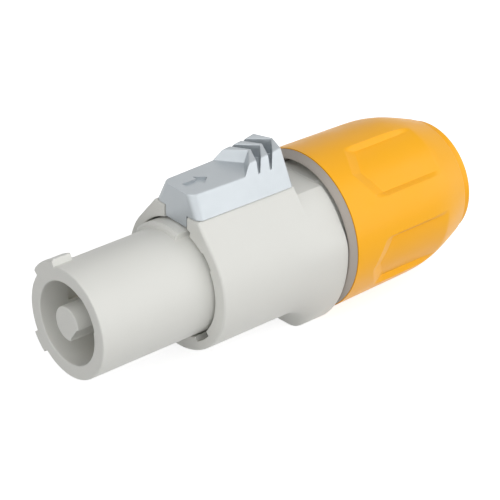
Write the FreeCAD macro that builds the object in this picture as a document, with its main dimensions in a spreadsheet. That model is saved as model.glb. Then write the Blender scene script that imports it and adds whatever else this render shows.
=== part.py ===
import FreeCAD, Part
import Sketcher
import math
import os

# Twist-lock power connector for the end of a cable, in millimetres.
# X runs along the connector from its mating face to the cable entry, Z points up through the latch.
# Angles round the axis start at the top and grow towards -Y.

DRIVING_SIZES = [
    ("tube_radius", 9.2, "outside of the round nose"),
    ("bore_radius", 6.9, "socket inside the nose"),
    ("bore_depth", 14, "mating face to the socket floor"),
    ("floor_wall", 3, "thickness of the socket floor"),
    ("post_radius", 2.85, "centre post in the socket"),
    ("post_flat", 2.2, "axis to the contact seat on the post"),
    ("key_radius", 7.1, "keyed stretch of the socket"),
    ("key_start", 29, "first edge of the keyed stretch"),
    ("key_sweep", 48, "angle of the keyed stretch"),
    ("lug_rise", 1.1, "height of the bayonet lugs"),
    ("lug_length", 3.6, "length of the bayonet lugs"),
    ("lug_bevel", 0.3, "bevel on the front of the lugs"),
    ("wide_lug_start", 306, "first edge of the wide lug"),
    ("wide_lug_sweep", 35, "angle of the wide lug"),
    ("narrow_lug_start", 218, "first edge of the narrow lug"),
    ("narrow_lug_sweep", 20.5, "angle of the narrow lug"),
    ("bridge_reach", 2.1, "how far the latch bridge stands out of the housing"),
    ("bridge_rise", 0.95, "height of the latch bridge"),
    ("bridge_start", 310, "first edge of the latch bridge"),
    ("bridge_sweep", 65, "angle of the latch bridge"),
    ("bridge_bevel", 0.5, "bevel on the front of the bridge"),
    ("housing_front", 21.5, "mating face to the housing"),
    ("housing_length", 25.7, "visible length of the housing"),
    ("housing_step", 0.7, "step from the housing down to the spigot"),
    ("front_lip", 4.3, "length of the narrow bore in the housing's front"),
    ("mouth_gap", 0.4, "nose to the narrow bore"),
    ("room_step", 1.1, "nose to the room for the insert's flange"),
    ("roof_drop", 0.9, "flat roof of that room below its round wall"),
    ("keyway_gap", 0.3, "latch bridge to the keyways in the housing's mouth"),
    ("keyway_depth", 3, "length of the keyways"),
    ("keyway_margin", 5, "keyway past the bridge on each side, as an angle"),
    ("side_keyway_rise", 0.35, "depth of the side keyway in the mouth"),
    ("side_keyway_start", 40.7, "first edge of the side keyway"),
    ("side_keyway_sweep", 17.9, "angle of the side keyway"),
    ("low_keyway_start", 129.6, "first edge of the low keyway"),
    ("low_keyway_sweep", 20.4, "angle of the low keyway"),
    ("spigot_wall", 1, "wall of the threaded spigot"),
    ("spigot_length", 11, "length of the threaded spigot"),
    ("rail_rise", 0.25, "flat that the latch slides on above the round housing"),
    ("rail_half_width", 5.35, "half width of that flat"),
    ("rail_length", 19.8, "length of that flat"),
    ("rail_side_run", 3.78, "width of the slope beside that flat"),
    ("rail_side_fall", 4.42, "height of the slope beside that flat"),
    ("pocket_drop", 1.65, "flat behind the latch below the rail flat"),
    ("pocket_half_width", 6.6, "half width of that flat"),
    ("pocket_reach", 3, "how far that flat runs on over the spigot"),
    ("slot_half_width", 2.8, "half width of the latch slots"),
    ("spring_slot_length", 10, "front latch slot, with the spring"),
    ("slot_bar", 1, "bar between the two latch slots"),
    ("foot_drop", 2.7, "foot below the round housing"),
    ("foot_half_width", 4.7, "half width of the foot's flat"),
    ("foot_edge_depth", 11.6, "axis to the lower edge of the foot's flanks"),
    ("foot_edge_half_width", 9, "half width of the foot at that edge"),
    ("foot_waist_depth", 7, "axis to the middle of the foot's flanks"),
    ("foot_waist_half_width", 11.3, "half width of the foot there"),
    ("foot_top_depth", 1.9, "axis to the top of the foot's flanks"),
    ("foot_top_half_width", 11.8, "half width of the foot at its top"),
    ("foot_length", 5, "length of the foot"),
    ("foot_lead", 3.3, "sloping lead of the foot"),
    ("foot_tuck", 0.77, "foot at the start of its lead, as a share of its full section"),
    ("latch_travel", 3, "stroke of the latch"),
    ("latch_length", 20.05, "length of the latch along its base"),
    ("latch_half_width", 5.4, "half width of the latch at its base"),
    ("latch_flare", 0.25, "how much further the base reaches sideways at the rear"),
    ("latch_gap", 0.12, "latch to the rail flat"),
    ("plate_rise", 3.8, "underside of the latch to the plate in front of the thumb fins"),
    ("fin_rise", 1.68, "plate to the top of the first fin"),
    ("fin_climb", 0.9, "rise of the fin tops to the rear"),
    ("crest_rise", 1.1, "top of the first fin to the latch's top before its cuts"),
    ("front_crest_half", 2.15, "half width of the crest at the front"),
    ("rear_crest_half", 3.2, "half width of the crest at the rear"),
    ("fin_start", 12, "latch front to the side of the first fin"),
    ("fin_sweep", 2.7, "how far a fin's middle lies behind its sides"),
    ("fin_pitch", 2.41, "spacing of the fins"),
    ("fin_side", 1.55, "thickness of a fin at its side"),
    ("fin_middle", 0.55, "thickness of a fin at its middle"),
    ("fin_slots", 2, "slots between the fins"),
    ("slot_drop", 0.2, "fin slots below the plate"),
    ("fin_side_half", 3.4, "half width at which the fin sides are measured"),
    ("rear_sweep", 1.15, "how far the middle of the rear face stands out"),
    ("rear_lean", 1.5, "how far the rear face leans forward up to the crest"),
    ("latch_bevel", 1.5, "bevel on the latch's front corners"),
    ("arrow_depth", 0.3, "depth of the engraved arrow"),
    ("arrow_start", 1.7, "latch front to the arrow"),
    ("arrow_length", 4.6, "length of the arrow"),
    ("arrow_head", 1.8, "length of the arrow's head"),
    ("arrow_half_width", 1.5, "half width of the arrow's head"),
    ("arrow_shaft", 0.7, "half width of the arrow's shaft"),
    ("stem_half_width", 2.55, "half width of the latch stems"),
    ("stem_gap", 0.25, "front stem to the bridge"),
    ("front_stem_length", 3.4, "length of the front stem"),
    ("stem_play", 0.5, "rear stem to each end of its slot over the whole stroke"),
    ("rear_stem_length", 3, "length of the rear stem"),
    ("stem_slit", 0.9, "half width of the slit in the rear stem"),
    ("hook_half_width", 3.4, "half width across the hooks under the roof"),
    ("hook_thickness", 1, "thickness of the hooks"),
    ("hook_gap", 0.25, "hooks to the roof"),
    ("spring_rise", 0.95, "latch bridge to the spring's centre line"),
    ("spring_radius", 0.75, "mean radius of the spring"),
    ("spring_wire", 0.2, "radius of the spring wire"),
    ("spring_turns", 6, "turns of the spring"),
    ("pin_radius", 0.4, "pin through the spring"),
    ("pin_grip", 1.6, "length of the pin in the front stem"),
    ("pin_tail", 4.8, "length of the pin inside the spring"),
    ("pin_fit", 0.02, "pin to its hole in the front stem"),
    ("pin_gap", 0.3, "pin to the hole in the slot bar"),
    ("flange_length", 3.4, "length of the insert's flange"),
    ("room_gap", 0.1, "insert pieces to the housing's room"),
    ("cavity_radius", 7.6, "hollow behind the socket floor"),
    ("plate_wall", 2, "front plate of the terminal block"),
    ("block_length", 12, "terminal block behind its front plate"),
    ("block_step", 0.8, "step from the insert's flange down to the terminal block"),
    ("block_flat", 7.6, "axis to the flat on top of the terminal block"),
    ("retainer_length", 1.5, "length of the retaining ring"),
    ("retainer_inner", 7.6, "inner radius of the retaining ring"),
    ("earth_angle", 53, "angle of the earth contact"),
    ("live_angle", 125, "angle of the live contact on the post"),
    ("live_terminal_angle", 172, "angle of the live terminal"),
    ("neutral_angle", 275, "angle of the neutral contact"),
    ("strip_half_width", 1.5, "half width of the contact strips"),
    ("strip_thickness", 0.7, "thickness of the contact strips"),
    ("seat_setback", 5.5, "outer contact seats behind the mating face"),
    ("strip_setback", 8, "contact tips behind the mating face"),
    ("strip_radius", 6.75, "axis to the middle of the outer strips"),
    ("seat_gap", 0.1, "contact parts to their seats"),
    ("tab_thickness", 1, "thickness of the tab across to the live terminal"),
    ("terminal_half_width", 2.1, "half width of the brass terminals"),
    ("terminal_inner", 3.2, "axis to the inner face of a terminal"),
    ("terminal_outer", 8, "axis to the outer face of a terminal"),
    ("terminal_length", 9, "length of a terminal"),
    ("wire_hole_radius", 1.3, "wire hole in a terminal"),
    ("wire_hole_height", 5, "axis to the wire hole"),
    ("wire_hole_stop", 2.6, "wall at the blind end of the wire hole"),
    ("screw_offset", 5.9, "terminal's front to its screw"),
    ("screw_radius", 1.4, "radius of the terminal screws"),
    ("screw_length", 2.5, "length of the terminal screws"),
    ("screw_slot", 0.25, "half width of the screwdriver slot"),
    ("screw_slot_depth", 0.8, "depth of the screwdriver slot"),
    ("clamp_plate", 0.4, "thickness of the wire clamp plates"),
    ("screw_gap", 0.05, "screw to its hole"),
    ("nut_gap", 0.2, "housing's end face to the nut"),
    ("nut_lip", 0.8, "length of the nut's sloping collar"),
    ("lip_wall", 0.75, "wall of the nut's collar at its front"),
    ("thread_gap", 0.15, "spigot to the nut"),
    ("nut_wall", 1.0, "wall of the nut over the spigot"),
    ("nut_bore_length", 13.4, "length of the nut's wide bore"),
    ("nut_barrel", 16.6, "length of the nut's straight stretch"),
    ("nut_length", 28.5, "length of the nut"),
    ("nut_tail_drop", 3.45, "fall of the nut's outside to its rear"),
    ("entry_radius", 6.2, "cable entry"),
    ("grip_wall", 1.45, "wall of the grip at its front"),
    ("grip_shoulder_drop", 0.3, "fall of the grip's outside to where its crown begins"),
    ("grip_barrel", 18.4, "length of the grip's straight stretch"),
    ("crown_middle", 3.7, "start of the crown to its middle"),
    ("crown_middle_drop", 1.03, "fall of the grip's outside to the middle of its crown"),
    ("crown_end_drop", 3.07, "fall of the grip's outside to the end of its crown"),
    ("disc_step", 0.67, "step from the crown to the rear disc"),
    ("disc_length", 1.8, "length of the rear disc"),
    ("channel_wall", 0.45, "wall of the grip under its channels"),
    ("channel_sweep", 42, "angle of one channel"),
    ("channel_pitch", 72.5, "angle between the two channels of a pair"),
    ("channel_offset", 4.2, "grip front to the channels"),
    ("channel_ramp", 2.4, "sloping front of a channel"),
    ("channel_start", 12, "first edge of the first channel"),
    ("channel_pairs", 2, "number of channel pairs round the grip"),
    ("collet_gap", 0.25, "collet to the housing's room"),
    ("collet_seat", 0.3, "collet to the retaining ring"),
    ("collet_ring", 9.6, "length of the collet's ring"),
    ("collet_fingers", 12.5, "length of the collet's fingers"),
    ("finger_step", 0.75, "step from the collet's ring down to its fingers"),
    ("finger_tip_radius", 7.7, "outside of the fingers at their tips"),
    ("collet_bore", 5.8, "inside of the collet"),
    ("finger_slit", 0.6, "half width of the slit between two fingers"),
    ("slit_offset", 1.2, "ring of the collet to the slits"),
    ("finger_count", 6, "number of fingers"),
    ("cone_gap", 0.3, "fingers to the nut's cone"),
    ("cone_margin", 1, "nut's cone past the finger tips"),
    ("gland_offset", 3, "collet's front to the cable seal"),
    ("gland_inner", 4.3, "inside of the cable seal"),
    ("gland_length", 14, "length of the cable seal"),
    ("gland_gap", 0.05, "cable seal to the collet"),
]

doc = FreeCAD.newDocument("connector")
sheet = doc.addObject("Spreadsheet::Sheet", "sizes")
for row, (alias, number, note) in enumerate(DRIVING_SIZES, start=1):
    sheet.set(f"A{row}", note)
    sheet.set(f"B{row}", str(number))
    sheet.setAlias(f"B{row}", alias)
doc.recompute()


def formula_of(size):
    """The expression text of a Size, or of a plain number."""
    return size.formula if isinstance(size, Size) else str(size)


class Size:
    """A length that knows its value and the formula that gives it from the sheet."""

    def __init__(self, value, formula):
        self.value = value
        self.formula = formula

    def __float__(self):
        return float(self.value)

    def __add__(self, other):
        return Size(float(self) + float(other), f"({self.formula} + {formula_of(other)})")

    def __sub__(self, other):
        return Size(float(self) - float(other), f"({self.formula} - {formula_of(other)})")

    def __mul__(self, other):
        return Size(float(self) * float(other), f"({self.formula} * {formula_of(other)})")

    def __truediv__(self, other):
        return Size(float(self) / float(other), f"({self.formula} / {formula_of(other)})")

    def __neg__(self):
        return Size(-float(self), f"(0 - {self.formula})")


class Sizes:
    """The cells of the sheet, each under its alias."""

    def __init__(self):
        for name, _, _ in DRIVING_SIZES:
            setattr(self, name, Size(sheet.get(name), f"sizes.{name}"))


given = Sizes()

# Places along the axis that several pieces share
housing_end = given.housing_front + given.housing_length
rail_end = given.housing_front + given.rail_length
spigot_end = housing_end + given.spigot_length
flange_front = given.housing_front + given.front_lip
flange_back = flange_front + given.flange_length
floor_back = given.bore_depth + given.floor_wall
block_front = flange_back + given.plate_wall
block_back = block_front + given.block_length
terminal_front = block_front + given.seat_gap
terminal_back = terminal_front + given.terminal_length
screw_place = terminal_front + given.screw_offset
latch_front = given.housing_front + given.latch_gap
latch_back = latch_front + given.latch_length
front_stem_back = latch_front + given.front_stem_length
spring_slot_end = given.housing_front + given.spring_slot_length
stem_slot_front = spring_slot_end + given.slot_bar
rear_stem_front = stem_slot_front + given.stem_play
rear_stem_back = rear_stem_front + given.rear_stem_length
stem_slot_back = rear_stem_back + given.latch_travel + given.stem_play
nut_front = housing_end + given.nut_gap
grip_front = nut_front + given.nut_lip
nut_bore_end = nut_front + given.nut_bore_length
nut_taper = nut_front + given.nut_barrel
nut_end = nut_front + given.nut_length
collet_front = block_back + given.retainer_length + given.collet_seat
finger_root = collet_front + given.collet_ring
finger_tip = finger_root + given.collet_fingers

# Radii and heights that several pieces share
mouth_radius = given.tube_radius + given.mouth_gap
bridge_radius = given.tube_radius + given.bridge_rise
room_radius = given.tube_radius + given.room_step
roof_height = room_radius - given.roof_drop
spigot_radius = room_radius + given.spigot_wall
housing_radius = spigot_radius + given.housing_step
keyway_radius = bridge_radius + given.keyway_gap
insert_radius = room_radius - given.room_gap
insert_flat = roof_height - given.room_gap
block_radius = insert_radius - given.block_step
collet_radius = room_radius - given.collet_gap
finger_root_radius = collet_radius - given.finger_step
rail_height = housing_radius + given.rail_rise
pocket_height = rail_height - given.pocket_drop
latch_base = rail_height + given.latch_gap
plate_height = latch_base + given.plate_rise
fin_height = plate_height + given.fin_rise
crest_height = fin_height + given.crest_rise
spring_height = bridge_radius + given.spring_rise
foot_depth = housing_radius + given.foot_drop
live_strip_radius = given.post_flat + given.strip_thickness / 2
plate_base = given.wire_hole_height + given.wire_hole_radius - given.clamp_plate
screw_base = plate_base + given.clamp_plate
nut_bore = spigot_radius + given.thread_gap
nut_outer = nut_bore + given.nut_wall
nut_tail_radius = nut_outer - given.nut_tail_drop
grip_radius = nut_outer + given.grip_wall

# Name of each pole, angle of its terminal, angle and height of its contact strip, front of its seat
POLES = (
    ("earth", given.earth_angle, given.earth_angle, given.strip_radius, given.seat_setback),
    ("neutral", given.neutral_angle, given.neutral_angle, given.strip_radius, given.seat_setback),
    ("live", given.live_terminal_angle, given.live_angle, live_strip_radius, 0),
)

ALONG = FreeCAD.Vector(1, 0, 0)
ONE_DEGREE = FreeCAD.Rotation(ALONG, 1)


def bind(thing, prop, size):
    """Tie a property to its formula."""
    thing.setExpression(prop, formula_of(size))


def both(half):
    return (-half, half)


def new_body(name):
    body = doc.addObject("PartDesign::Body", name)
    body.Label = name
    return body


def origin_part(body, role):
    return [item for item in body.Origin.OriginFeatures if item.Role == role][0]


def new_sketch(body, name, role, offset):
    sketch = body.newObject("Sketcher::SketchObject", name)
    sketch.AttachmentSupport = [(origin_part(body, role), "")]
    sketch.MapMode = "FlatFace"
    bind(sketch, "AttachmentOffset.Base.z", offset)
    return sketch


def measure(sketch, kind, size, *where):
    """Add a measured constraint and tie it to its formula."""
    number = sketch.addConstraint(Sketcher.Constraint(kind, *where, float(size)))
    if isinstance(size, Size):
        sketch.setExpression(f"Constraints[{number}]", size.formula)


def outline(body, name, role, corners, offset=0):
    """A closed outline of straight lines, with both coordinates of each corner measured."""
    sketch = new_sketch(body, name, role, offset)
    places = [FreeCAD.Vector(float(u), float(v), 0) for u, v in corners]
    count = len(corners)
    for i in range(count):
        sketch.addGeometry(Part.LineSegment(places[i], places[(i + 1) % count]))
    for i, (u, v) in enumerate(corners):
        sketch.addConstraint(Sketcher.Constraint("Coincident", i, 2, (i + 1) % count, 1))
        measure(sketch, "DistanceX", u, -1, 1, i, 1)
        measure(sketch, "DistanceY", v, -1, 1, i, 1)
    return sketch


def flat_topped(body, name, radius, flat, offset):
    """A circle about the axis whose top is cut off level."""
    sketch = new_sketch(body, name, "YZ_Plane", offset)
    rise = math.asin(float(flat) / float(radius))
    circle = Part.Circle(FreeCAD.Vector(), FreeCAD.Vector(0, 0, 1), float(radius))
    arc = Part.ArcOfCircle(circle, math.pi - rise, math.tau + rise)
    sketch.addGeometry(arc)
    sketch.addGeometry(Part.LineSegment(arc.EndPoint, arc.StartPoint))
    sketch.addConstraint(Sketcher.Constraint("Coincident", 0, 3, -1, 1))
    sketch.addConstraint(Sketcher.Constraint("Coincident", 0, 2, 1, 1))
    sketch.addConstraint(Sketcher.Constraint("Coincident", 0, 1, 1, 2))
    sketch.addConstraint(Sketcher.Constraint("Horizontal", 1))
    measure(sketch, "Radius", radius, 0)
    measure(sketch, "DistanceY", flat, -1, 1, 1, 1)
    return sketch


def extrude(body, name, sketch, length, kind="Pad", back=False, middle=False):
    """Pad or pocket a sketch. A pad grows along the plane's normal, a pocket against it."""
    feature = body.newObject(f"PartDesign::{kind}", name)
    feature.Profile = sketch
    bind(feature, "Length", length)
    feature.Reversed = back
    feature.Midplane = middle
    return feature


def turn(body, name, corners, kind="Revolution", start=None, sweep=360):
    """Turn an outline of (x, radius) corners about the axis, from an angle on if one is given."""
    sketch = outline(body, f"{name}_outline", "XZ_Plane", corners)
    if start is not None:
        sketch.AttachmentOffset = FreeCAD.Placement(FreeCAD.Vector(), ONE_DEGREE)
        sketch.setExpression("AttachmentOffset.Rotation.Angle", f"{start.formula} * 1 deg")
    feature = body.newObject(f"PartDesign::{kind}", name)
    feature.Profile = sketch
    feature.ReferenceAxis = (sketch, ["H_Axis"])
    bind(feature, "Angle", sweep)
    return feature


def stand(piece, x, across, outwards, angle):
    """Place a primitive at x, sideways and outwards from the axis, turned to an angle."""
    piece.Placement = FreeCAD.Placement(FreeCAD.Vector(), ONE_DEGREE)
    bend = formula_of(angle)
    side = formula_of(across)
    rise = formula_of(outwards)
    piece.setExpression("Placement.Rotation.Angle", f"{bend} * 1 deg")
    piece.setExpression("Placement.Base.x", formula_of(x))
    piece.setExpression("Placement.Base.y", f"{side} * cos({bend} * 1 deg) - {rise} * sin({bend} * 1 deg)")
    piece.setExpression("Placement.Base.z", f"{side} * sin({bend} * 1 deg) + {rise} * cos({bend} * 1 deg)")


def block(body, name, kind, x, across, outwards, angle=0):
    """Add or cut a box between (low, high) limits: along, sideways and outwards from the axis."""
    piece = body.newObject(f"PartDesign::{kind}Box", name)
    bind(piece, "Length", x[1] - x[0])
    bind(piece, "Width", across[1] - across[0])
    bind(piece, "Height", outwards[1] - outwards[0])
    stand(piece, x[0], across[0], outwards[0], angle)
    return piece


def radial_pin(body, name, kind, radius, outwards, x, angle):
    """Add or cut a cylinder that points away from the axis."""
    piece = body.newObject(f"PartDesign::{kind}Cylinder", name)
    bind(piece, "Radius", radius)
    bind(piece, "Height", outwards[1] - outwards[0])
    stand(piece, x, 0, outwards[0], angle)
    return piece


def round_bar(body, name, kind, radius, x, height, angle=0):
    """Add or cut a cylinder that lies along the connector, at a height above its axis."""
    piece = body.newObject(f"PartDesign::{kind}Cylinder", name)
    bind(piece, "Radius", radius)
    bind(piece, "Height", x[1] - x[0])
    piece.Placement = FreeCAD.Placement(FreeCAD.Vector(), FreeCAD.Rotation(FreeCAD.Vector(0, 1, 0), 90))
    bend = formula_of(angle)
    piece.setExpression("Placement.Base.x", formula_of(x[0]))
    piece.setExpression("Placement.Base.y", f"0 - {formula_of(height)} * sin({bend} * 1 deg)")
    piece.setExpression("Placement.Base.z", f"{formula_of(height)} * cos({bend} * 1 deg)")
    return piece


def repeat_round(body, name, feature, count):
    """Repeat a feature evenly round the axis."""
    pattern = body.newObject("PartDesign::PolarPattern", name)
    pattern.Originals = [feature]
    pattern.Axis = (origin_part(body, "X_Axis"), [""])
    pattern.Angle = 360
    bind(pattern, "Occurrences", count)
    body.Tip = pattern
    return pattern


def foot_section(body, name, share, x):
    """Section of the flaring foot, drawn in towards the axis by a share."""
    half = [
        (given.foot_half_width, foot_depth),
        (given.foot_edge_half_width, given.foot_edge_depth),
        (given.foot_waist_half_width, given.foot_waist_depth),
        (given.foot_top_half_width, given.foot_top_depth),
    ]
    near = [(-y * share, -z * share) for y, z in reversed(half)]
    far = [(y * share, -z * share) for y, z in half]
    return outline(body, name, "YZ_Plane", near + far, x)


def make_housing():
    """Outer shell: barrel, latch rails, foot and the threaded spigot for the nut."""
    body = new_body("housing")
    turn(body, "barrel", [
        (given.housing_front, 0),
        (given.housing_front, housing_radius),
        (housing_end, housing_radius),
        (housing_end, spigot_radius),
        (spigot_end, spigot_radius),
        (spigot_end, 0),
    ])
    rail_low = rail_height - given.rail_side_fall
    rail_side = given.rail_half_width + given.rail_side_run
    rails = outline(body, "rail_outline", "YZ_Plane", [
        (-given.rail_half_width, rail_height),
        (given.rail_half_width, rail_height),
        (rail_side, rail_low),
        (-rail_side, rail_low),
    ], given.housing_front)
    extrude(body, "rails", rails, given.rail_length)
    foot_back = housing_end - given.nut_gap
    foot_front = foot_back - given.foot_length
    foot = body.newObject("PartDesign::AdditiveLoft", "foot")
    foot.Profile = foot_section(body, "foot_tip_section", given.foot_tuck, foot_front - given.foot_lead)
    foot.Sections = [
        foot_section(body, "foot_front_section", 1, foot_front),
        foot_section(body, "foot_back_section", 1, foot_back),
    ]
    foot.Ruled = True
    turn(body, "mouth", [
        (given.housing_front, 0),
        (given.housing_front, mouth_radius),
        (flange_front, mouth_radius),
        (flange_front, 0),
    ], "Groove")
    room = flat_topped(body, "room_outline", room_radius, roof_height, flange_front)
    extrude(body, "room", room, spigot_end - flange_front, "Pocket", back=True)
    latch_room = (given.tube_radius, rail_height)
    slot = both(given.slot_half_width)
    block(body, "pocket", "Subtractive", (rail_end, housing_end + given.pocket_reach),
          both(given.pocket_half_width), (pocket_height, rail_height))
    block(body, "spring_slot", "Subtractive", (given.housing_front, spring_slot_end), slot, latch_room)
    block(body, "stem_slot", "Subtractive", (stem_slot_front, stem_slot_back), slot, latch_room)
    round_bar(body, "pin_hole", "Subtractive", given.pin_radius + given.pin_gap,
              (spring_slot_end, stem_slot_front), spring_height)
    keyway_end = given.housing_front + given.keyway_depth
    for name, radius, start, sweep in (
        ("bridge_keyway", keyway_radius, given.bridge_start - given.keyway_margin,
         given.bridge_sweep + given.keyway_margin * 2),
        ("side_keyway", mouth_radius + given.side_keyway_rise, given.side_keyway_start, given.side_keyway_sweep),
        ("low_keyway", keyway_radius, given.low_keyway_start, given.low_keyway_sweep),
    ):
        turn(body, name, [
            (given.housing_front, given.tube_radius),
            (given.housing_front, radius),
            (keyway_end, radius),
            (keyway_end, given.tube_radius),
        ], "Groove", start, sweep)
    return body


def make_plug_insert():
    """Round nose with the socket, its post, bayonet lugs, latch bridge and the seating flange."""
    body = new_body("plug_insert")
    turn(body, "nose", [
        (0, 0),
        (0, given.tube_radius),
        (flange_front, given.tube_radius),
        (flange_front, 0),
    ])
    flange = flat_topped(body, "flange_outline", insert_radius, insert_flat, flange_front)
    extrude(body, "flange", flange, given.flange_length)
    lug_top = given.tube_radius + given.lug_rise
    for name, start, sweep in (
        ("wide_lug", given.wide_lug_start, given.wide_lug_sweep),
        ("narrow_lug", given.narrow_lug_start, given.narrow_lug_sweep),
    ):
        turn(body, name, [
            (0, given.bore_radius),
            (0, lug_top - given.lug_bevel),
            (given.lug_bevel, lug_top),
            (given.lug_length, lug_top),
            (given.lug_length, given.bore_radius),
        ], start=start, sweep=sweep)
    bridge_front = given.housing_front - given.bridge_reach
    bridge_back = given.housing_front + given.keyway_depth - given.room_gap
    turn(body, "latch_bridge", [
        (bridge_front, given.bore_radius),
        (bridge_front, bridge_radius - given.bridge_bevel),
        (bridge_front + given.bridge_bevel, bridge_radius),
        (bridge_back, bridge_radius),
        (bridge_back, given.bore_radius),
    ], start=given.bridge_start, sweep=given.bridge_sweep)
    turn(body, "socket", [
        (0, given.post_radius),
        (0, given.bore_radius),
        (given.bore_depth, given.bore_radius),
        (given.bore_depth, given.post_radius),
    ], "Groove")
    turn(body, "keyed_stretch", [
        (0, given.post_radius),
        (0, given.key_radius),
        (given.bore_depth, given.key_radius),
        (given.bore_depth, given.post_radius),
    ], "Groove", given.key_start, given.key_sweep)
    turn(body, "cavity", [
        (floor_back, 0),
        (floor_back, given.cavity_radius),
        (flange_back, given.cavity_radius),
        (flange_back, 0),
    ], "Groove")
    seat = both(given.strip_half_width + given.seat_gap)
    depth = given.strip_thickness / 2 + given.seat_gap
    for name, _, angle, radius, front in POLES:
        block(body, f"{name}_channel", "Subtractive", (front, floor_back), seat,
              (radius - depth, radius + depth), angle)
    return body


def make_terminal_block():
    """Block behind the insert with a pocket for each brass terminal."""
    body = new_body("terminal_block")
    plate = flat_topped(body, "plate_outline", insert_radius, insert_flat, flange_back)
    extrude(body, "plate", plate, given.plate_wall)
    block_shape = flat_topped(body, "block_outline", block_radius, given.block_flat, block_front)
    extrude(body, "block", block_shape, given.block_length)
    tab_back = terminal_front + given.tab_thickness + given.seat_gap
    window = both(given.strip_half_width + given.seat_gap)
    depth = given.strip_thickness / 2 + given.seat_gap
    for name, angle, strip_angle, radius, _ in POLES:
        block(body, f"{name}_window", "Subtractive", (flange_back, tab_back), window,
              (radius - depth, radius + depth), strip_angle)
        block(body, f"{name}_pocket", "Subtractive", (block_front, terminal_back + given.seat_gap),
              both(given.terminal_half_width + given.seat_gap),
              (given.terminal_inner - given.seat_gap, block_radius + given.seat_gap), angle)
        round_bar(body, f"{name}_wire_entry", "Subtractive", given.wire_hole_radius,
                  (terminal_back, block_back), given.wire_hole_height, angle)
    side = given.terminal_half_width + given.strip_thickness + given.seat_gap
    block(body, "tab_room", "Subtractive", (block_front, tab_back),
          (-given.terminal_half_width - given.seat_gap, side),
          (given.post_flat / 2 - given.seat_gap,
           given.terminal_inner + given.strip_thickness + given.seat_gap), given.live_terminal_angle)
    return body


def make_contact(name, angle, strip_angle, strip_radius):
    """Brass contact: a flat strip in front, and behind it a terminal with a wire hole."""
    body = new_body(name)
    half_strip = given.strip_thickness / 2
    block(body, "strip", "Additive", (given.strip_setback, terminal_front + given.tab_thickness),
          both(given.strip_half_width), (strip_radius - half_strip, strip_radius + half_strip),
          strip_angle)
    if strip_angle is not angle:
        block(body, "tab", "Additive", (terminal_front, terminal_front + given.tab_thickness),
              (-given.terminal_half_width, given.terminal_half_width + given.strip_thickness),
              (given.post_flat / 2, given.terminal_inner + given.strip_thickness), angle)
    block(body, "terminal", "Additive", (terminal_front, terminal_back),
          both(given.terminal_half_width), (given.terminal_inner, given.terminal_outer), angle)
    round_bar(body, "wire_hole", "Subtractive", given.wire_hole_radius,
              (terminal_front + given.wire_hole_stop, terminal_back), given.wire_hole_height, angle)
    radial_pin(body, "screw_hole", "Subtractive", given.screw_radius + given.screw_gap,
               (given.wire_hole_height, given.terminal_outer), screw_place, angle)
    return body


def make_clamp_plate(name, angle):
    """Small brass disc that the screw presses on the wire."""
    body = new_body(name)
    radial_pin(body, "disc", "Additive", given.screw_radius - given.screw_gap,
               (plate_base, plate_base + given.clamp_plate), screw_place, angle)
    return body


def make_terminal_screw(name, angle):
    """Headless slotted screw over the wire hole."""
    body = new_body(name)
    top = screw_base + given.screw_length
    radial_pin(body, "shank", "Additive", given.screw_radius, (screw_base, top), screw_place, angle)
    block(body, "driver_slot", "Subtractive",
          (screw_place - given.screw_radius, screw_place + given.screw_radius),
          both(given.screw_slot), (top - given.screw_slot_depth, top), angle)
    return body


def make_retaining_ring():
    """Ring that holds the insert and the terminal block in the housing."""
    body = new_body("retaining_ring")
    ring = flat_topped(body, "ring_outline", insert_radius, insert_flat, block_back)
    extrude(body, "ring", ring, given.retainer_length)
    round_bar(body, "opening", "Subtractive", given.retainer_inner,
              (block_back, block_back + given.retainer_length), 0)
    return body


def chevron_outline(body, name, front, back, height):
    """Outline of a V across the latch at a height. Each edge is (x at the side, x in the middle)."""
    wide = given.latch_half_width + given.latch_flare
    spread = (wide - given.fin_side_half) / given.fin_side_half
    front_side = front[0] - (front[1] - front[0]) * spread
    back_side = back[0] - (back[1] - back[0]) * spread
    return outline(body, name, "XY_Plane", [
        (front_side, -wide),
        (front[1], 0),
        (front_side, wide),
        (back_side, wide),
        (back[1], 0),
        (back_side, -wide),
    ], height)


def chevron(body, name, front, back, height):
    """Cut a V across the latch upwards from a height."""
    sketch = chevron_outline(body, f"{name}_outline", front, back, height)
    return extrude(body, name, sketch, crest_height - height, "Pocket", back=True)


def latch_section(body, name, base_half, crest_half, x):
    return outline(body, name, "YZ_Plane", [
        (-base_half, latch_base),
        (base_half, latch_base),
        (crest_half, crest_height),
        (-crest_half, crest_height),
    ], x)


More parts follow.
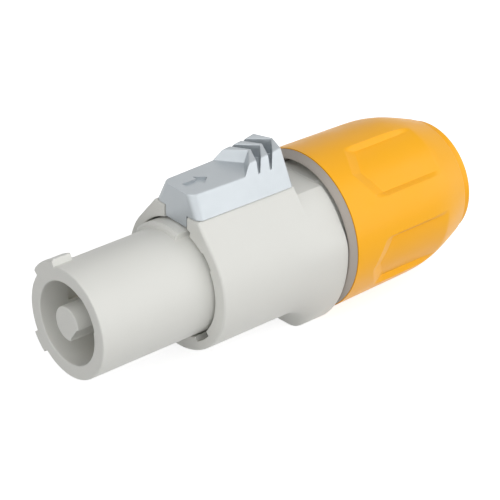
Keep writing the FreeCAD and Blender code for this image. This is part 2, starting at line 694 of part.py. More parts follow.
def make_latch():
    """Metal sliding latch with its thumb fins, two stems and the hooks under the housing's roof."""
    body = new_body("latch")
    bar_end = latch_back + given.rear_sweep
    bar = body.newObject("PartDesign::AdditiveLoft", "bar")
    bar.Profile = latch_section(body, "front_section", given.latch_half_width - given.latch_bevel,
                                given.front_crest_half - given.latch_bevel, latch_front)
    bar.Sections = [
        latch_section(body, "shoulder_section", given.latch_half_width, given.front_crest_half,
                      latch_front + given.latch_bevel),
        latch_section(body, "rear_section", given.latch_half_width + given.latch_flare,
                      given.rear_crest_half, bar_end),
    ]
    bar.Ruled = True
    fin_front = latch_front + given.fin_start
    top = outline(body, "top_outline", "XZ_Plane", [
        (latch_front, fin_height),
        (fin_front, fin_height),
        (bar_end, fin_height + given.fin_climb),
        (bar_end, crest_height),
        (latch_front, crest_height),
    ])
    extrude(body, "top", top, (given.latch_half_width + given.latch_flare) * 2, "Pocket", middle=True)
    chevron(body, "plate", (latch_front, latch_front), (fin_front, fin_front + given.fin_sweep),
            plate_height)
    for number in range(int(given.fin_slots.value)):
        side_front = fin_front + given.fin_pitch * number + given.fin_side
        side_back = fin_front + given.fin_pitch * (number + 1)
        middle_front = fin_front + given.fin_sweep + given.fin_pitch * number + given.fin_middle
        chevron(body, f"fin_slot_{number + 1}", (side_front, middle_front),
                (side_back, side_back + given.fin_sweep), plate_height - given.slot_drop)
    behind = (bar_end + given.rear_sweep, bar_end + given.rear_sweep)
    rear_face = body.newObject("PartDesign::SubtractiveLoft", "rear_face")
    rear_face.Profile = chevron_outline(body, "rear_base_outline", (latch_back, bar_end), behind, latch_base)
    rear_face.Sections = [
        chevron_outline(body, "rear_crest_outline",
                        (latch_back - given.rear_lean, bar_end - given.rear_lean), behind, crest_height),
    ]
    rear_face.Ruled = True
    arrow_tip = latch_front + given.arrow_start + given.arrow_length
    arrow_neck = arrow_tip - given.arrow_head
    arrow = outline(body, "arrow_outline", "XY_Plane", [
        (latch_front + given.arrow_start, -given.arrow_shaft),
        (arrow_neck, -given.arrow_shaft),
        (arrow_neck, -given.arrow_half_width),
        (arrow_tip, 0),
        (arrow_neck, given.arrow_half_width),
        (arrow_neck, given.arrow_shaft),
        (latch_front + given.arrow_start, given.arrow_shaft),
    ], plate_height)
    extrude(body, "arrow", arrow, given.arrow_depth, "Pocket")
    stem = both(given.stem_half_width)
    block(body, "front_stem", "Additive", (latch_front, front_stem_back), stem,
          (bridge_radius + given.stem_gap, latch_base))
    rear_stem = (rear_stem_front, rear_stem_back)
    hook_top = roof_height - given.hook_gap
    hook_low = hook_top - given.hook_thickness
    block(body, "rear_stem", "Additive", rear_stem, stem, (hook_low, latch_base))
    block(body, "hooks", "Additive", rear_stem, both(given.hook_half_width), (hook_low, hook_top))
    block(body, "stem_slit", "Subtractive", rear_stem, both(given.stem_slit),
          (hook_low, rail_height))
    round_bar(body, "pin_hole", "Subtractive", given.pin_radius + given.pin_fit,
              (front_stem_back - given.pin_grip, front_stem_back), spring_height)
    return body


def make_spring_pin():
    """Thin pin in the front stem that keeps the spring straight."""
    body = new_body("spring_pin")
    round_bar(body, "pin", "Additive", given.pin_radius,
              (front_stem_back - given.pin_grip, front_stem_back + given.pin_tail),
              spring_height)
    return body


def make_latch_spring():
    """Compression spring between the front stem and the bar of the housing."""
    reach = spring_slot_end - front_stem_back - given.spring_wire * 2
    helix = doc.addObject("Part::Helix", "spring_line")
    bind(helix, "Radius", given.spring_radius)
    bind(helix, "Height", reach)
    bind(helix, "Pitch", reach / given.spring_turns)
    wire = doc.addObject("Part::Circle", "spring_section")
    bind(wire, "Radius", given.spring_wire)
    wire.Placement = FreeCAD.Placement(FreeCAD.Vector(), FreeCAD.Rotation(ALONG, 90))
    bind(wire, "Placement.Base.x", given.spring_radius)
    spring = doc.addObject("Part::Sweep", "latch_spring")
    spring.Label = "latch_spring"
    spring.Sections = [wire]
    spring.Spine = (helix, ["Edge1"])
    spring.Solid = True
    spring.Frenet = True
    spring.Placement = FreeCAD.Placement(FreeCAD.Vector(), FreeCAD.Rotation(FreeCAD.Vector(0, 1, 0), 90))
    bind(spring, "Placement.Base.x", front_stem_back + given.spring_wire)
    bind(spring, "Placement.Base.z", spring_height)
    return spring


def make_collet():
    """Cable chuck: a ring that slides in the spigot and slotted fingers behind it."""
    body = new_body("collet")
    ring = flat_topped(body, "ring_outline", collet_radius, roof_height - given.collet_gap,
                       collet_front)
    extrude(body, "ring", ring, given.collet_ring)
    turn(body, "fingers", [
        (finger_root, 0),
        (finger_root, finger_root_radius),
        (finger_tip, given.finger_tip_radius),
        (finger_tip, 0),
    ])
    round_bar(body, "bore", "Subtractive", given.collet_bore, (collet_front, finger_tip), 0)
    slit = block(body, "slit", "Subtractive", (finger_root + given.slit_offset, finger_tip),
                 both(given.finger_slit), (0, finger_root_radius))
    repeat_round(body, "slits", slit, given.finger_count)
    return body


def make_gland_sleeve():
    """Rubber sleeve in the collet that seals on the cable."""
    body = new_body("gland_sleeve")
    front = collet_front + given.gland_offset
    outer = given.collet_bore - given.gland_gap
    turn(body, "sleeve", [
        (front, given.gland_inner),
        (front, outer),
        (front + given.gland_length, outer),
        (front + given.gland_length, given.gland_inner),
    ])
    return body


def make_clamp_nut():
    """Threaded nut with the sloping collar in front and the cone that closes the collet."""
    body = new_body("clamp_nut")
    cone_end = finger_tip + given.cone_margin
    slope = (finger_root_radius - given.finger_tip_radius) / given.collet_fingers
    cone_root = finger_root_radius + given.cone_gap - slope * (nut_bore_end - finger_root)
    cone_tip = given.finger_tip_radius + given.cone_gap - slope * given.cone_margin
    turn(body, "nut", [
        (nut_front, nut_bore),
        (nut_front, nut_bore + given.lip_wall),
        (grip_front, grip_radius),
        (grip_front, nut_outer),
        (nut_taper, nut_outer),
        (nut_end, nut_tail_radius),
        (nut_end, given.entry_radius),
        (cone_end, given.entry_radius),
        (cone_end, cone_tip),
        (nut_bore_end, cone_root),
        (nut_bore_end, nut_bore),
    ])
    return body


def make_grip_sleeve():
    """Soft grip over the nut, with channels for the fingers and a rounded crown."""
    body = new_body("grip_sleeve")
    crown = grip_front + given.grip_barrel
    crown_middle = crown + given.crown_middle
    crown_end_radius = grip_radius - given.crown_end_drop
    disc_radius = crown_end_radius - given.disc_step
    turn(body, "sleeve", [
        (grip_front, nut_outer),
        (grip_front, grip_radius),
        (crown, grip_radius - given.grip_shoulder_drop),
        (crown_middle, grip_radius - given.crown_middle_drop),
        (nut_end, crown_end_radius),
        (nut_end, disc_radius),
        (nut_end + given.disc_length, disc_radius),
        (nut_end + given.disc_length, given.entry_radius),
        (nut_end, given.entry_radius),
        (nut_end, nut_tail_radius),
        (nut_taper, nut_outer),
    ])
    channel_front = grip_front + given.channel_offset
    floor = nut_outer + given.channel_wall
    channel_end = crown_middle + given.crown_middle / 2
    starts = (given.channel_start, given.channel_start + given.channel_pitch)
    for number, start in enumerate(starts, start=1):
        channel = turn(body, f"channel_{number}", [
            (channel_front, grip_radius),
            (channel_front + given.channel_ramp, floor),
            (channel_end, floor),
            (channel_end, grip_radius),
        ], "Groove", start, given.channel_sweep)
        repeat_round(body, f"channel_{number}_pairs", channel, given.channel_pairs)
    return body


def write_steps(nodes):
    """Check every object, then write each sub-part to a file of its own."""
    doc.recompute()
    for item in doc.Objects:
        if "Invalid" in item.State or "Error" in item.State:
            raise RuntimeError(f"{item.Name} did not build")
    for node in nodes:
        if node.Shape.isNull() or not node.Shape.isValid():
            raise RuntimeError(f"{node.Label} has no valid shape")
    os.makedirs("parts", exist_ok=True)
    for node in nodes:
        node.Shape.exportStep(f"parts/{node.Label}.step")
        box = node.Shape.BoundBox
        print(f"{node.Label:22s} solids {len(node.Shape.Solids)} volume {node.Shape.Volume:8.1f}",
              f"x {box.XMin:6.2f} {box.XMax:6.2f}  y {box.YMin:6.2f} {box.YMax:6.2f}",
              f"z {box.ZMin:6.2f} {box.ZMax:6.2f}")


parts = [
    make_housing(),
    make_plug_insert(),
    make_terminal_block(),
    make_retaining_ring(),
    make_latch(),
    make_spring_pin(),
    make_latch_spring(),
    make_collet(),
    make_gland_sleeve(),
    make_clamp_nut(),
    make_grip_sleeve(),
]
for pole, terminal_angle, strip_angle, strip_radius, _ in POLES:
    parts.append(make_contact(f"{pole}_contact", terminal_angle, strip_angle, strip_radius))
    parts.append(make_clamp_plate(f"{pole}_clamp_plate", terminal_angle))
    parts.append(make_terminal_screw(f"{pole}_terminal_screw", terminal_angle))
write_steps(parts)
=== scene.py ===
import math

import bmesh
import bpy
import numpy as np
from mathutils import Matrix, Vector


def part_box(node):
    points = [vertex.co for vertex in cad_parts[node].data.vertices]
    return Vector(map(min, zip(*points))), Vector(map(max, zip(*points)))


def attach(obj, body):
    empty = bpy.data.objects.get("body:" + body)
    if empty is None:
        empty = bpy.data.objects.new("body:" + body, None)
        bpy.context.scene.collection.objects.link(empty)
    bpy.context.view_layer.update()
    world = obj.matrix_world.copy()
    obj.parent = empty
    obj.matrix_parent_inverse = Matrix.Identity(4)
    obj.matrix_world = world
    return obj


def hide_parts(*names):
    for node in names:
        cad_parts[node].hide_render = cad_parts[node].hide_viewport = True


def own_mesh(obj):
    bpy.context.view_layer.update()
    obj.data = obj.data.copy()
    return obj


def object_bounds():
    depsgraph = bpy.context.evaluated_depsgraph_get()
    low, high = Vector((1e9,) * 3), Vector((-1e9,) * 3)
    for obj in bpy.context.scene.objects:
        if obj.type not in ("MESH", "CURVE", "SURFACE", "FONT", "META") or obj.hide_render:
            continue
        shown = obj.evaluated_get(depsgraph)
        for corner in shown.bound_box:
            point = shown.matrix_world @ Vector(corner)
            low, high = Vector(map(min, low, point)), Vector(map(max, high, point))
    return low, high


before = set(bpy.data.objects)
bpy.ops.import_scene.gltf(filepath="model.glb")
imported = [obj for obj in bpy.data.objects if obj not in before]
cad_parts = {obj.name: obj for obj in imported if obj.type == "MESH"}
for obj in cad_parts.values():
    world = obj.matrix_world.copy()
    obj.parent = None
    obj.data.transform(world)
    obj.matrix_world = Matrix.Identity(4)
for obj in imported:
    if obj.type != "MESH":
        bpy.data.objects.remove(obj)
CAD_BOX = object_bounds()

bl_info = {
    "name": "Twist-lock power connector",
    "version": (1, 0, 0),
    "blender": (4, 5, 0),
    "location": "View3D > Sidebar > Connector",
    "description": "Dresses a cable-end twist-lock power connector in finished surfaces",
    "category": "Mesh",
}

MM = 0.001
TURN = math.tau

# Angles round the connector start at the top and grow towards -Y, and x runs from the mating face
# to the cable entry. CRISP is the width over which a sharp step is drawn, CLOSE the least spacing of
# a grid's rows, CLOSE_ANGLE that of its columns, and OVERCUT how far a cutting tool reaches past the
# surface that it cuts.
CRISP = 0.06 * MM
CLOSE = 0.002 * MM
CLOSE_ANGLE = math.radians(0.02)
OVERCUT = 1 * MM


def length(name, note, value):
    """A length property with its default in millimetres."""
    return bpy.props.FloatProperty(name=name, description=note, default=value * MM, unit="LENGTH",
                                   precision=5)


def angle(name, note, value):
    """An angle property with its default in degrees."""
    return bpy.props.FloatProperty(name=name, description=note, default=math.radians(value),
                                   subtype="ANGLE")


def count(name, note, value):
    """A whole number from 1 up."""
    return bpy.props.IntProperty(name=name, description=note, default=value, min=1)


def amount(name, note, value):
    """A plain number."""
    return bpy.props.FloatProperty(name=name, description=note, default=value)


def direction(name, note, value):
    """A direction in the part's frame."""
    return bpy.props.FloatVectorProperty(name=name, description=note, default=value, subtype="DIRECTION")


def paint(name, note, red, green, blue):
    """A colour property given as display values from 0 to 255."""
    linear = [((value / 255 + 0.055) / 1.055) ** 2.4 for value in (red, green, blue)]
    return bpy.props.FloatVectorProperty(name=name, description=note, default=linear, subtype="COLOR",
                                         min=0, max=1)


class NoseSize(bpy.types.PropertyGroup):
    """Sizes of the round nose with the socket."""

    tube_radius: length("Tube radius", "Outside of the nose", 9.2)
    tube_edge: length("Tube edge", "Rounding of the nose's front edges", 0.22)
    near_bore: length("Near bore", "Socket radius on the side away from the far stretch", 6.84)
    far_bore: length("Far bore", "Socket radius along its longest stretch", 6.94)
    key_bore: length("Keyed bore", "Socket radius along the keyed stretch", 7.09)
    key_start: angle("Key start", "First edge of the keyed stretch", 29)
    key_sweep: angle("Key sweep", "Angle of the keyed stretch", 48)
    far_start: angle("Far start", "First edge of the longest stretch", 206)
    bore_depth: length("Bore depth", "Mating face to the socket floor", 14)
    floor_fillet: length("Floor fillet", "Fillet round the socket floor", 0.3)
    post_radius: length("Post radius", "Centre post in the socket", 2.85)
    post_edge: length("Post edge", "Rounding of the post's front edge", 0.2)
    post_seat: length("Post seat", "Axis to the flat contact seat on the post", 2.1)
    seat_half: length("Seat half width", "Half width of the contact seats", 1.6)
    seat_edge: angle("Seat edge", "Width of the sides of the post's seat, as an angle", 2.7)
    channel_radius: length("Channel radius", "Axis to the bottom of the contact channels", 7.2)
    live_angle: angle("Live angle", "Angle of the seat on the post", 125)
    earth_angle: angle("Earth angle", "Angle of the earth channel", 53)
    neutral_angle: angle("Neutral angle", "Angle of the neutral channel", 275)
    channel_setback: length("Channel setback", "Mating face to the contact channels", 5.5)
    step_edge: angle("Step edge", "Width of the small step in the socket wall", 0.25)
    lug_rise: length("Lug rise", "Height of the bayonet lugs", 1.1)
    lug_length: length("Lug length", "Length of the bayonet lugs", 3.6)
    lug_bevel: length("Lug bevel", "Bevel on the front of the lugs", 0.3)
    wide_start: angle("Wide lug start", "First edge of the wide lug", 306)
    wide_sweep: angle("Wide lug sweep", "Angle of the wide lug", 35)
    narrow_start: angle("Narrow lug start", "First edge of the narrow lug", 218)
    narrow_sweep: angle("Narrow lug sweep", "Angle of the narrow lug", 20.5)
    bridge_front: length("Bridge front", "Mating face to the latch bridge", 19.4)
    bridge_back: length("Bridge back", "Mating face to the end of the latch bridge", 24.4)
    bridge_rise: length("Bridge rise", "Height of the latch bridge", 0.95)
    bridge_bevel: length("Bridge bevel", "Bevel on the front of the bridge", 0.5)
    bridge_start: angle("Bridge start", "First edge of the latch bridge", 310)
    bridge_sweep: angle("Bridge sweep", "Angle of the latch bridge", 65)
    flange_front: length("Flange front", "Mating face to the flange", 25.8)
    flange_radius: length("Flange radius", "Outside of the flange", 10.2)
    flange_flat: length("Flange flat", "Axis to the flat on top of the flange", 9.3)
    cavity_front: length("Cavity front", "Mating face to the hollow behind the socket floor", 17)
    cavity_radius: length("Cavity radius", "Hollow behind the socket floor", 7.6)
    side_edge: angle("Side edge", "Width of the sides of lugs and steps, as an angle", 0.9)


class HousingSize(bpy.types.PropertyGroup):
    """Sizes of the housing with its rails, foot and spigot."""

    radius: length("Radius", "Outside of the housing", 12)
    edge: length("Edge", "Rounding of the front edge", 0.4)
    rear_edge: length("Rear edge", "Rounding of the rear edge", 0.22)
    body_length: length("Body length", "Visible length of the housing", 25.7)
    lip: length("Lip", "Length of the narrow bore in the front", 4.3)
    mouth_radius: length("Mouth radius", "Narrow bore in the front", 9.6)
    mouth_edge: length("Mouth edge", "Rounding of the narrow bore", 0.2)
    room_radius: length("Room radius", "Room inside the housing", 10.3)
    roof: length("Roof", "Axis to the flat roof of the room", 9.4)
    keyway_radius: length("Keyway radius", "Keyways in the mouth", 10.45)
    side_keyway_radius: length("Side keyway radius", "Keyway at the side of the mouth", 9.95)
    keyway_depth: length("Keyway depth", "Length of the keyways", 3)
    keyway_edge: angle("Keyway edge", "Width of the keyways' sides, as an angle", 0.8)
    bridge_keyway: angle("Bridge keyway", "First edge of the bridge's keyway", 305)
    bridge_sweep: angle("Bridge keyway sweep", "Angle of the bridge's keyway", 75)
    side_keyway: angle("Side keyway", "First edge of the side keyway", 40.7)
    side_sweep: angle("Side keyway sweep", "Angle of the side keyway", 17.9)
    low_keyway: angle("Low keyway", "First edge of the low keyway", 129.6)
    low_sweep: angle("Low keyway sweep", "Angle of the low keyway", 20.4)
    rail_height: length("Rail height", "Axis to the flat that the latch slides on", 12.25)
    rail_half: length("Rail half width", "Half width of that flat", 5.35)
    rail_length: length("Rail length", "Length of that flat", 19.8)
    rail_blend: length("Rail blend", "Softness of the rails' edges", 0.05)
    pocket: length("Pocket", "Axis to the flat behind the latch", 10.6)
    pocket_reach: length("Pocket reach", "How far that flat runs on over the spigot", 3)
    slot_half: length("Slot half width", "Half width of the latch slots", 2.8)
    slot_length: length("Front slot", "Length of the front latch slot", 10)
    bar: length("Slot bar", "Bar between the two latch slots", 1)
    rear_slot: length("Rear slot", "Length of the rear latch slot", 7)
    pin_hole: length("Pin hole", "Radius of the hole in the bar", 0.7)
    pin_height: length("Pin height", "Axis to the hole in the bar", 11.1)
    spigot: length("Spigot radius", "Outside of the threaded spigot", 11.3)
    spigot_edge: length("Spigot edge", "Rounding of the spigot's end", 0.44)
    thread_start: length("Thread start", "Housing's end to the thread", 1.4)
    thread_end: length("Thread end", "Thread to the spigot's end", 0.8)
    thread_fade: length("Thread fade", "Run-out at the thread's ends", 0.6)
    thread_lead: length("Thread lead", "Advance of the thread in one turn", 2)
    thread_depth: length("Thread depth", "Depth of the thread", 0.5)
    foot_depth: length("Foot depth", "Axis to the foot's flat", 14.7)
    foot_side: length("Foot side", "Half width of the flare at the axis's height", 12.6)
    foot_reach: length("Foot reach", "Height of the flare's oval below the axis", 15.8)
    flare_top: angle("Flare top", "Where the flare begins on the side", 58)
    flare_blend: angle("Flare blend", "Angle over which it grows", 28)
    side_start: length("Side flare start", "Start of the flare along the sides", 33)
    side_end: length("Side flare end", "End of the flare along the sides", 47.2)
    foot_start: length("Foot start", "Start of the foot at the bottom", 40.4)
    foot_end: length("Foot end", "Full foot at the bottom", 42.7)
    foot_blend: length("Foot blend", "Softness of the foot's lower edges", 0.3)
    bottom_start: angle("Bottom start", "Where the flare's ends turn from the sides' to the foot's", 108)
    bottom_blend: angle("Bottom blend", "Angle over which they turn", 48)


class LatchSize(bpy.types.PropertyGroup):
    """Sizes of the sliding latch."""

    base_half: length("Base half width", "Half width at the base, at the front", 5.4)
    base_flare: length("Base flare", "How much wider the base is at the rear", 0.25)
    front_crest: length("Front crest", "Half width of the crest at the front", 2.15)
    rear_crest: length("Rear crest", "Half width of the crest at the rear", 3.2)
    crest_height: length("Crest height", "Axis to the height at which the crest is measured", 18.95)
    base_height: length("Base height", "Axis to the underside", 12.37)
    plate_height: length("Plate height", "Axis to the plate in front of the fins", 16.17)
    fin_height: length("Fin height", "Axis to the top of the first fin", 17.85)
    climb: length("Climb", "Rise of the top from the first fin to the rear apex", 0.9)
    side_length: length("Side length", "Length along the sides of the base", 20.05)
    climb_lead: length("Climb lead", "Start of the climb to the top of the first fin", 0.5)
    fin_start: length("Fin start", "Front to the top of the first fin", 12)
    fin_lean: length("Fin lean", "How far the first fin's front leans", 0.85)
    fin_pitch: length("Fin pitch", "Spacing of the fins", 2.41)
    fin_side: length("Fin side", "Thickness of a fin at its side", 1.55)
    fin_count: count("Fins", "Number of fins", 3)
    front_sweep: length("Front sweep", "How far a fin's front falls back to its middle", 2.7)
    back_sweep: length("Back sweep", "How far a fin's back falls back to its middle", 1.7)
    rear_sweep: length("Rear sweep", "How far the middle of the rear stands out", 1.15)
    rear_lean: length("Rear lean", "How far the rear leans forward up to the crest's height", 1.5)
    sweep_half: length("Sweep half width", "Half width at which the sides are measured", 3.4)
    slot_drop: length("Slot drop", "Slots below the plate", 0.2)
    wall_lean: length("Wall lean", "Lean of the slot walls", 0.12)
    corner: length("Corner", "Rounding of the front's upright corners", 1.55)
    edge: length("Edge", "Rounding along the top edges", 0.22)
    base_edge: length("Base edge", "Bevel along the base", 0.0275)
    arrow_start: length("Arrow start", "Front to the arrow", 1.7)
    arrow_length: length("Arrow length", "Length of the arrow", 4.6)
    arrow_head: length("Arrow head", "Length of the arrow's head", 1.8)
    arrow_half: length("Arrow half width", "Half width of the arrow's head", 1.5)
    arrow_shaft: length("Arrow shaft", "Half width of the arrow's shaft", 0.6)
    arrow_depth: length("Arrow depth", "Depth of the engraved arrow", 0.45)
    stem_half: length("Stem half width", "Half width of the stems", 2.55)
    front_stem: length("Front stem", "Length of the front stem", 3.4)
    front_stem_low: length("Front stem low", "Axis to the end of the front stem", 10.4)
    rear_stem: length("Rear stem", "Front to the rear stem", 11.38)
    rear_stem_length: length("Rear stem length", "Length of the rear stem", 3)
    hook_low: length("Hook low", "Axis to the lower side of the hooks", 8.15)
    hook_high: length("Hook high", "Axis to the upper side of the hooks", 9.15)
    hook_half: length("Hook half width", "Half width across the hooks", 3.4)
    slit_half: length("Slit half width", "Half width of the slit in the rear stem", 0.9)


class NutSize(bpy.types.PropertyGroup):
    """Sizes of the clamp nut and of the grip over it."""

    bore: length("Bore", "Bore over the spigot", 11.45)
    bore_length: length("Bore length", "Length of that bore", 13.4)
    collar_front: length("Collar front", "Outside of the collar at its front", 12.6)
    collar: length("Collar", "Length of the sloping collar", 0.8)
    collar_edge: length("Collar edge", "Rounding of the collar's front", 0.12)
    mouth: length("Mouth", "Radius of the wide mouth in the collar", 12.35)
    mouth_depth: length("Mouth depth", "Length of the wide mouth", 2.4)
    barrel: length("Barrel", "Length of the straight stretch", 16.6)
    outer: length("Outer", "Outside under the grip", 12.45)
    tail: length("Tail", "Outside at the rear", 9)
    entry: length("Entry", "Radius of the cable entry", 6.2)
    cone_root: length("Cone root", "Clamping cone at its wide end", 8.809)
    cone_tip: length("Cone tip", "Clamping cone at its narrow end", 7.872)
    cone_end: length("Cone end", "Mating face to the narrow end of the cone", 68.1)
    thread_lead: length("Thread lead", "Advance of the thread in one turn", 2)
    thread_depth: length("Thread depth", "Depth of the thread", 0.35)
    thread_end: length("Thread end", "Thread to the end of the bore", 1.2)
    thread_fade: length("Thread fade", "Run-out at the thread's ends", 0.6)
    grip_radius: length("Grip radius", "Outside of the grip at its front", 13.9)
    shoulder: length("Shoulder", "Outside where the crown begins", 13.6)
    grip_barrel: length("Grip barrel", "Length of the grip's straight stretch", 18.4)
    crown_middle: length("Crown middle", "Start of the crown to its middle", 3.7)
    middle_radius: length("Middle radius", "Outside in the middle of the crown", 12.87)
    end_radius: length("End radius", "Outside at the end of the crown", 10.83)
    crown_blend: length("Crown blend", "Softness of the crown's bends", 0.16)
    crown_edge: length("Crown edge", "Rounding of the crown's rear edge", 0.35)
    disc: length("Disc", "Outside of the rear disc", 10.16)
    disc_edge: length("Disc edge", "Rounding of the rear disc", 0.4)
    channel_pairs: count("Channel pairs", "Number of channel pairs round the grip", 2)
    channel_pitch: angle("Channel pitch", "Angle between the two channels of a pair", 72.5)
    channel_start: angle("Channel start", "First edge of the first channel", 10.3)
    channel_sweep: angle("Channel sweep", "Angle of one channel", 45)
    channel_wall: angle("Channel wall", "Angle of a channel's sloping wall", 3.4)
    channel_floor: length("Channel floor", "Axis to the floor of the channels", 12.9)
    channel_front: length("Channel front", "Grip's front to the middle of a channel's end", 4)
    channel_arch: length("Channel arch", "How far the end falls back at the channel's edges", 2.6)
    channel_bow: amount("Channel bow", "Power of the angle with which it falls back", 1.15)
    channel_ramp: length("Channel ramp", "Sloping end of a channel", 2.5)


class InnerSize(bpy.types.PropertyGroup):
    """Sizes of the small inner pieces."""

    seal_inner: length("Seal inner", "Inside of the cable seal", 4.3)
    seal_outer: length("Seal outer", "Outside of the cable seal", 5.75)
    seal_edge: length("Seal edge", "Rounding of the cable seal", 0.2)
    rib_depth: length("Rib depth", "Depth of the grooves in the seal", 0.35)
    ribs: count("Ribs", "Number of grooves in the seal", 6)
    spring_radius: length("Spring radius", "Mean radius of the spring", 0.75)
    spring_wire: length("Spring wire", "Radius of the spring wire", 0.2)
    spring_turns: count("Spring turns", "Turns of the spring", 6)
    small_bevel: length("Small bevel", "Bevel on small brass and steel pieces", 0.06)
    block_bevel: length("Block bevel", "Bevel on moulded inner pieces", 0.12)


class FinishColours(bpy.types.PropertyGroup):
    """Colours of the finishes."""

    shell: paint("Shell", "Light grey moulding of housing and nose", 222, 222, 217)
    orange: paint("Orange", "Orange grip", 255, 180, 8)
    nut: paint("Nut", "Warm grey nut", 176, 168, 160)
    zinc: paint("Zinc", "Plated latch", 184, 190, 194)
    steel: paint("Steel", "Springs and screws", 190, 192, 196)
    brass: paint("Brass", "Contacts", 214, 182, 112)
    black: paint("Black", "Terminal block", 42, 42, 43)
    natural: paint("Natural", "Collet", 216, 212, 200)
    rubber: paint("Rubber", "Cable seal", 30, 30, 31)


class StageSettings(bpy.types.PropertyGroup):
    """Camera, floor and light."""

    camera_place: bpy.props.FloatVectorProperty(
        name="Camera place", description="Where the camera stands",
        default=(-171.11 * MM, -237.15 * MM, 175.0 * MM), subtype="TRANSLATION")
    camera_right: direction("Camera right", "Direction to the right in the picture",
                            (0.756198, -0.654217, 0.012859))
    camera_up: direction("Camera up", "Direction upwards in the picture", (0.309080, 0.374444, 0.874220))
    lens: amount("Lens", "Focal length in millimetres", 160.02)
    floor_drop: length("Floor drop", "Lowest point of the part to the floor", 0.02)
    floor_size: length("Floor size", "Side of the floor", 6000)
    floor_grey: amount("Floor grey", "Colour of the floor, from black 0 to white 1", 0.55)
    floor_glow: amount("Floor glow", "Light of the floor where it is seen directly", 0.8)
    sky: amount("Sky", "Strength of the surrounding light", 0.05)
    lamp_distance: length("Lamp distance", "Middle of the part to the lamps", 600)
    lamp_size: length("Lamp size", "Side of the square lamps", 1000)
    side_power: amount("Side power", "Power of the side lamp in watts", 4.8)
    side_way: direction("Side way", "From the part to the side lamp", (0.6, -0.8, 0.2))
    front_power: amount("Front power", "Power of the front lamp in watts", 3.6)
    front_way: direction("Front way", "From the part to the front lamp", (-0.8, -0.5, 0.3))
    top_power: amount("Top power", "Power of the upper lamp in watts", 1.9)
    top_way: direction("Top way", "From the part to the upper lamp", (0, 0, 1))


def ends(node):
    """Lowest and highest x of a CAD node."""
    low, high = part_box(node)
    return low.x, high.x


def rise(distance, width):
    """0 before zero, 1 past a width, and half a cosine wave between them."""
    return (1 - np.cos(np.pi * np.clip(distance / width, 0, 1))) / 2


def step(distance, width=CRISP):
    """A rise that is centred on zero."""
    return rise(distance + width / 2, width)


def mix(first, second, part):
    """From the first value to the second, by a share."""
    return first + (second - first) * part


def soft_min(first, second, blend):
    """The lesser of two surfaces, with their crossing rounded off."""
    return -blend * np.logaddexp(-first / blend, -second / blend)


def round_off(distance, radius):
    """How far a rounded edge lies under the full surface, at a distance from the edge."""
    inside = np.clip(radius - distance, 0, radius)
    return radius - np.sqrt(radius ** 2 - inside ** 2)


def wrap(angles):
    """Angles brought to between minus and plus half a turn."""
    return (angles + TURN / 2) % TURN - TURN / 2


def sector(angles, start, sweep, edge):
    """1 inside a sector and 0 outside it, with a smooth change over an edge."""
    away = np.abs(wrap(angles - start - sweep / 2)) - sweep / 2
    return 1 - step(away, edge)


def flat(distance, facing, angles):
    """Radius at which rays from the axis meet a flat that faces a direction."""
    slope = np.maximum(np.cos(angles - facing), 0.1)
    return distance / slope


def around(places, width=CRISP):
    """Places close before and after each step, so that the grid follows it."""
    return [place + width * part for place in places for part in (-0.6, -0.3, 0, 0.3, 0.6)]


def round_marks(end, radius, side):
    """Places along a rounded edge that ends at a face, on the low (1) or high (-1) side of the piece."""
    return [end + side * radius * (1 - math.cos(part * math.pi / 12)) for part in range(1, 6)] + [
        end + side * radius]


def columns(even, sectors=(), edge=0.0, extra=()):
    """Angles of a grid's columns: an even fan, and more across the edges of the sectors."""
    parts = [np.arange(even) * TURN / even, np.asarray(extra, float) % TURN]
    for start, sweep in sectors:
        for place in (start, start + sweep):
            parts.append((place + edge * np.linspace(-0.6, 0.6, 7)) % TURN)
    angles = np.unique(np.concatenate(parts))
    gaps = np.diff(angles, append=angles[0] + TURN)
    return angles[gaps > CLOSE_ANGLE]


def stations(start, end, pitch, marks=()):
    """Places along x from start to end, evenly and at the marks that lie between."""
    low, high = sorted((start, end))
    even = np.linspace(low, high, max(2, round((high - low) / pitch) + 1))
    inside = [mark for mark in marks if low < mark < high]
    places = np.unique(np.concatenate([even, inside]))
    places = places[np.insert(np.diff(places) > CLOSE, 0, True)]
    places[-1] = high
    return places if end > start else places[::-1]


def grid_faces(rows, columns_, closed):
    """Quads of a grid whose columns close on themselves, and whose rows do so if asked."""
    row = np.arange(rows if closed else rows - 1)[:, None]
    column = np.arange(columns_)[None, :]
    after_row = (row + 1) % rows
    after_column = (column + 1) % columns_
    corners = (row * columns_ + column, row * columns_ + after_column,
               after_row * columns_ + after_column, after_row * columns_ + column)
    quads = [np.broadcast_to(corner, (len(row), columns_)) for corner in corners]
    return np.stack(quads, -1).reshape(-1, 4)


def new_mesh(name, points, faces):
    """A merged mesh with its faces turned outwards."""
    mesh = bpy.data.meshes.new(name)
    mesh.from_pydata(np.asarray(points, float).tolist(), [], faces)
    tidy_mesh(mesh)
    return mesh


def tidy_mesh(mesh, merge=0.0005 * MM, flatten=False):
    """Merge doubled vertices, join flat facets if asked, and turn the faces outwards."""
    work = bmesh.new()
    work.from_mesh(mesh)
    bmesh.ops.remove_doubles(work, verts=work.verts, dist=merge)
    if flatten:
        bmesh.ops.dissolve_limit(work, angle_limit=math.radians(0.5), verts=work.verts, edges=work.edges)
    bmesh.ops.recalc_face_normals(work, faces=work.faces)
    work.to_mesh(mesh)
    work.free()


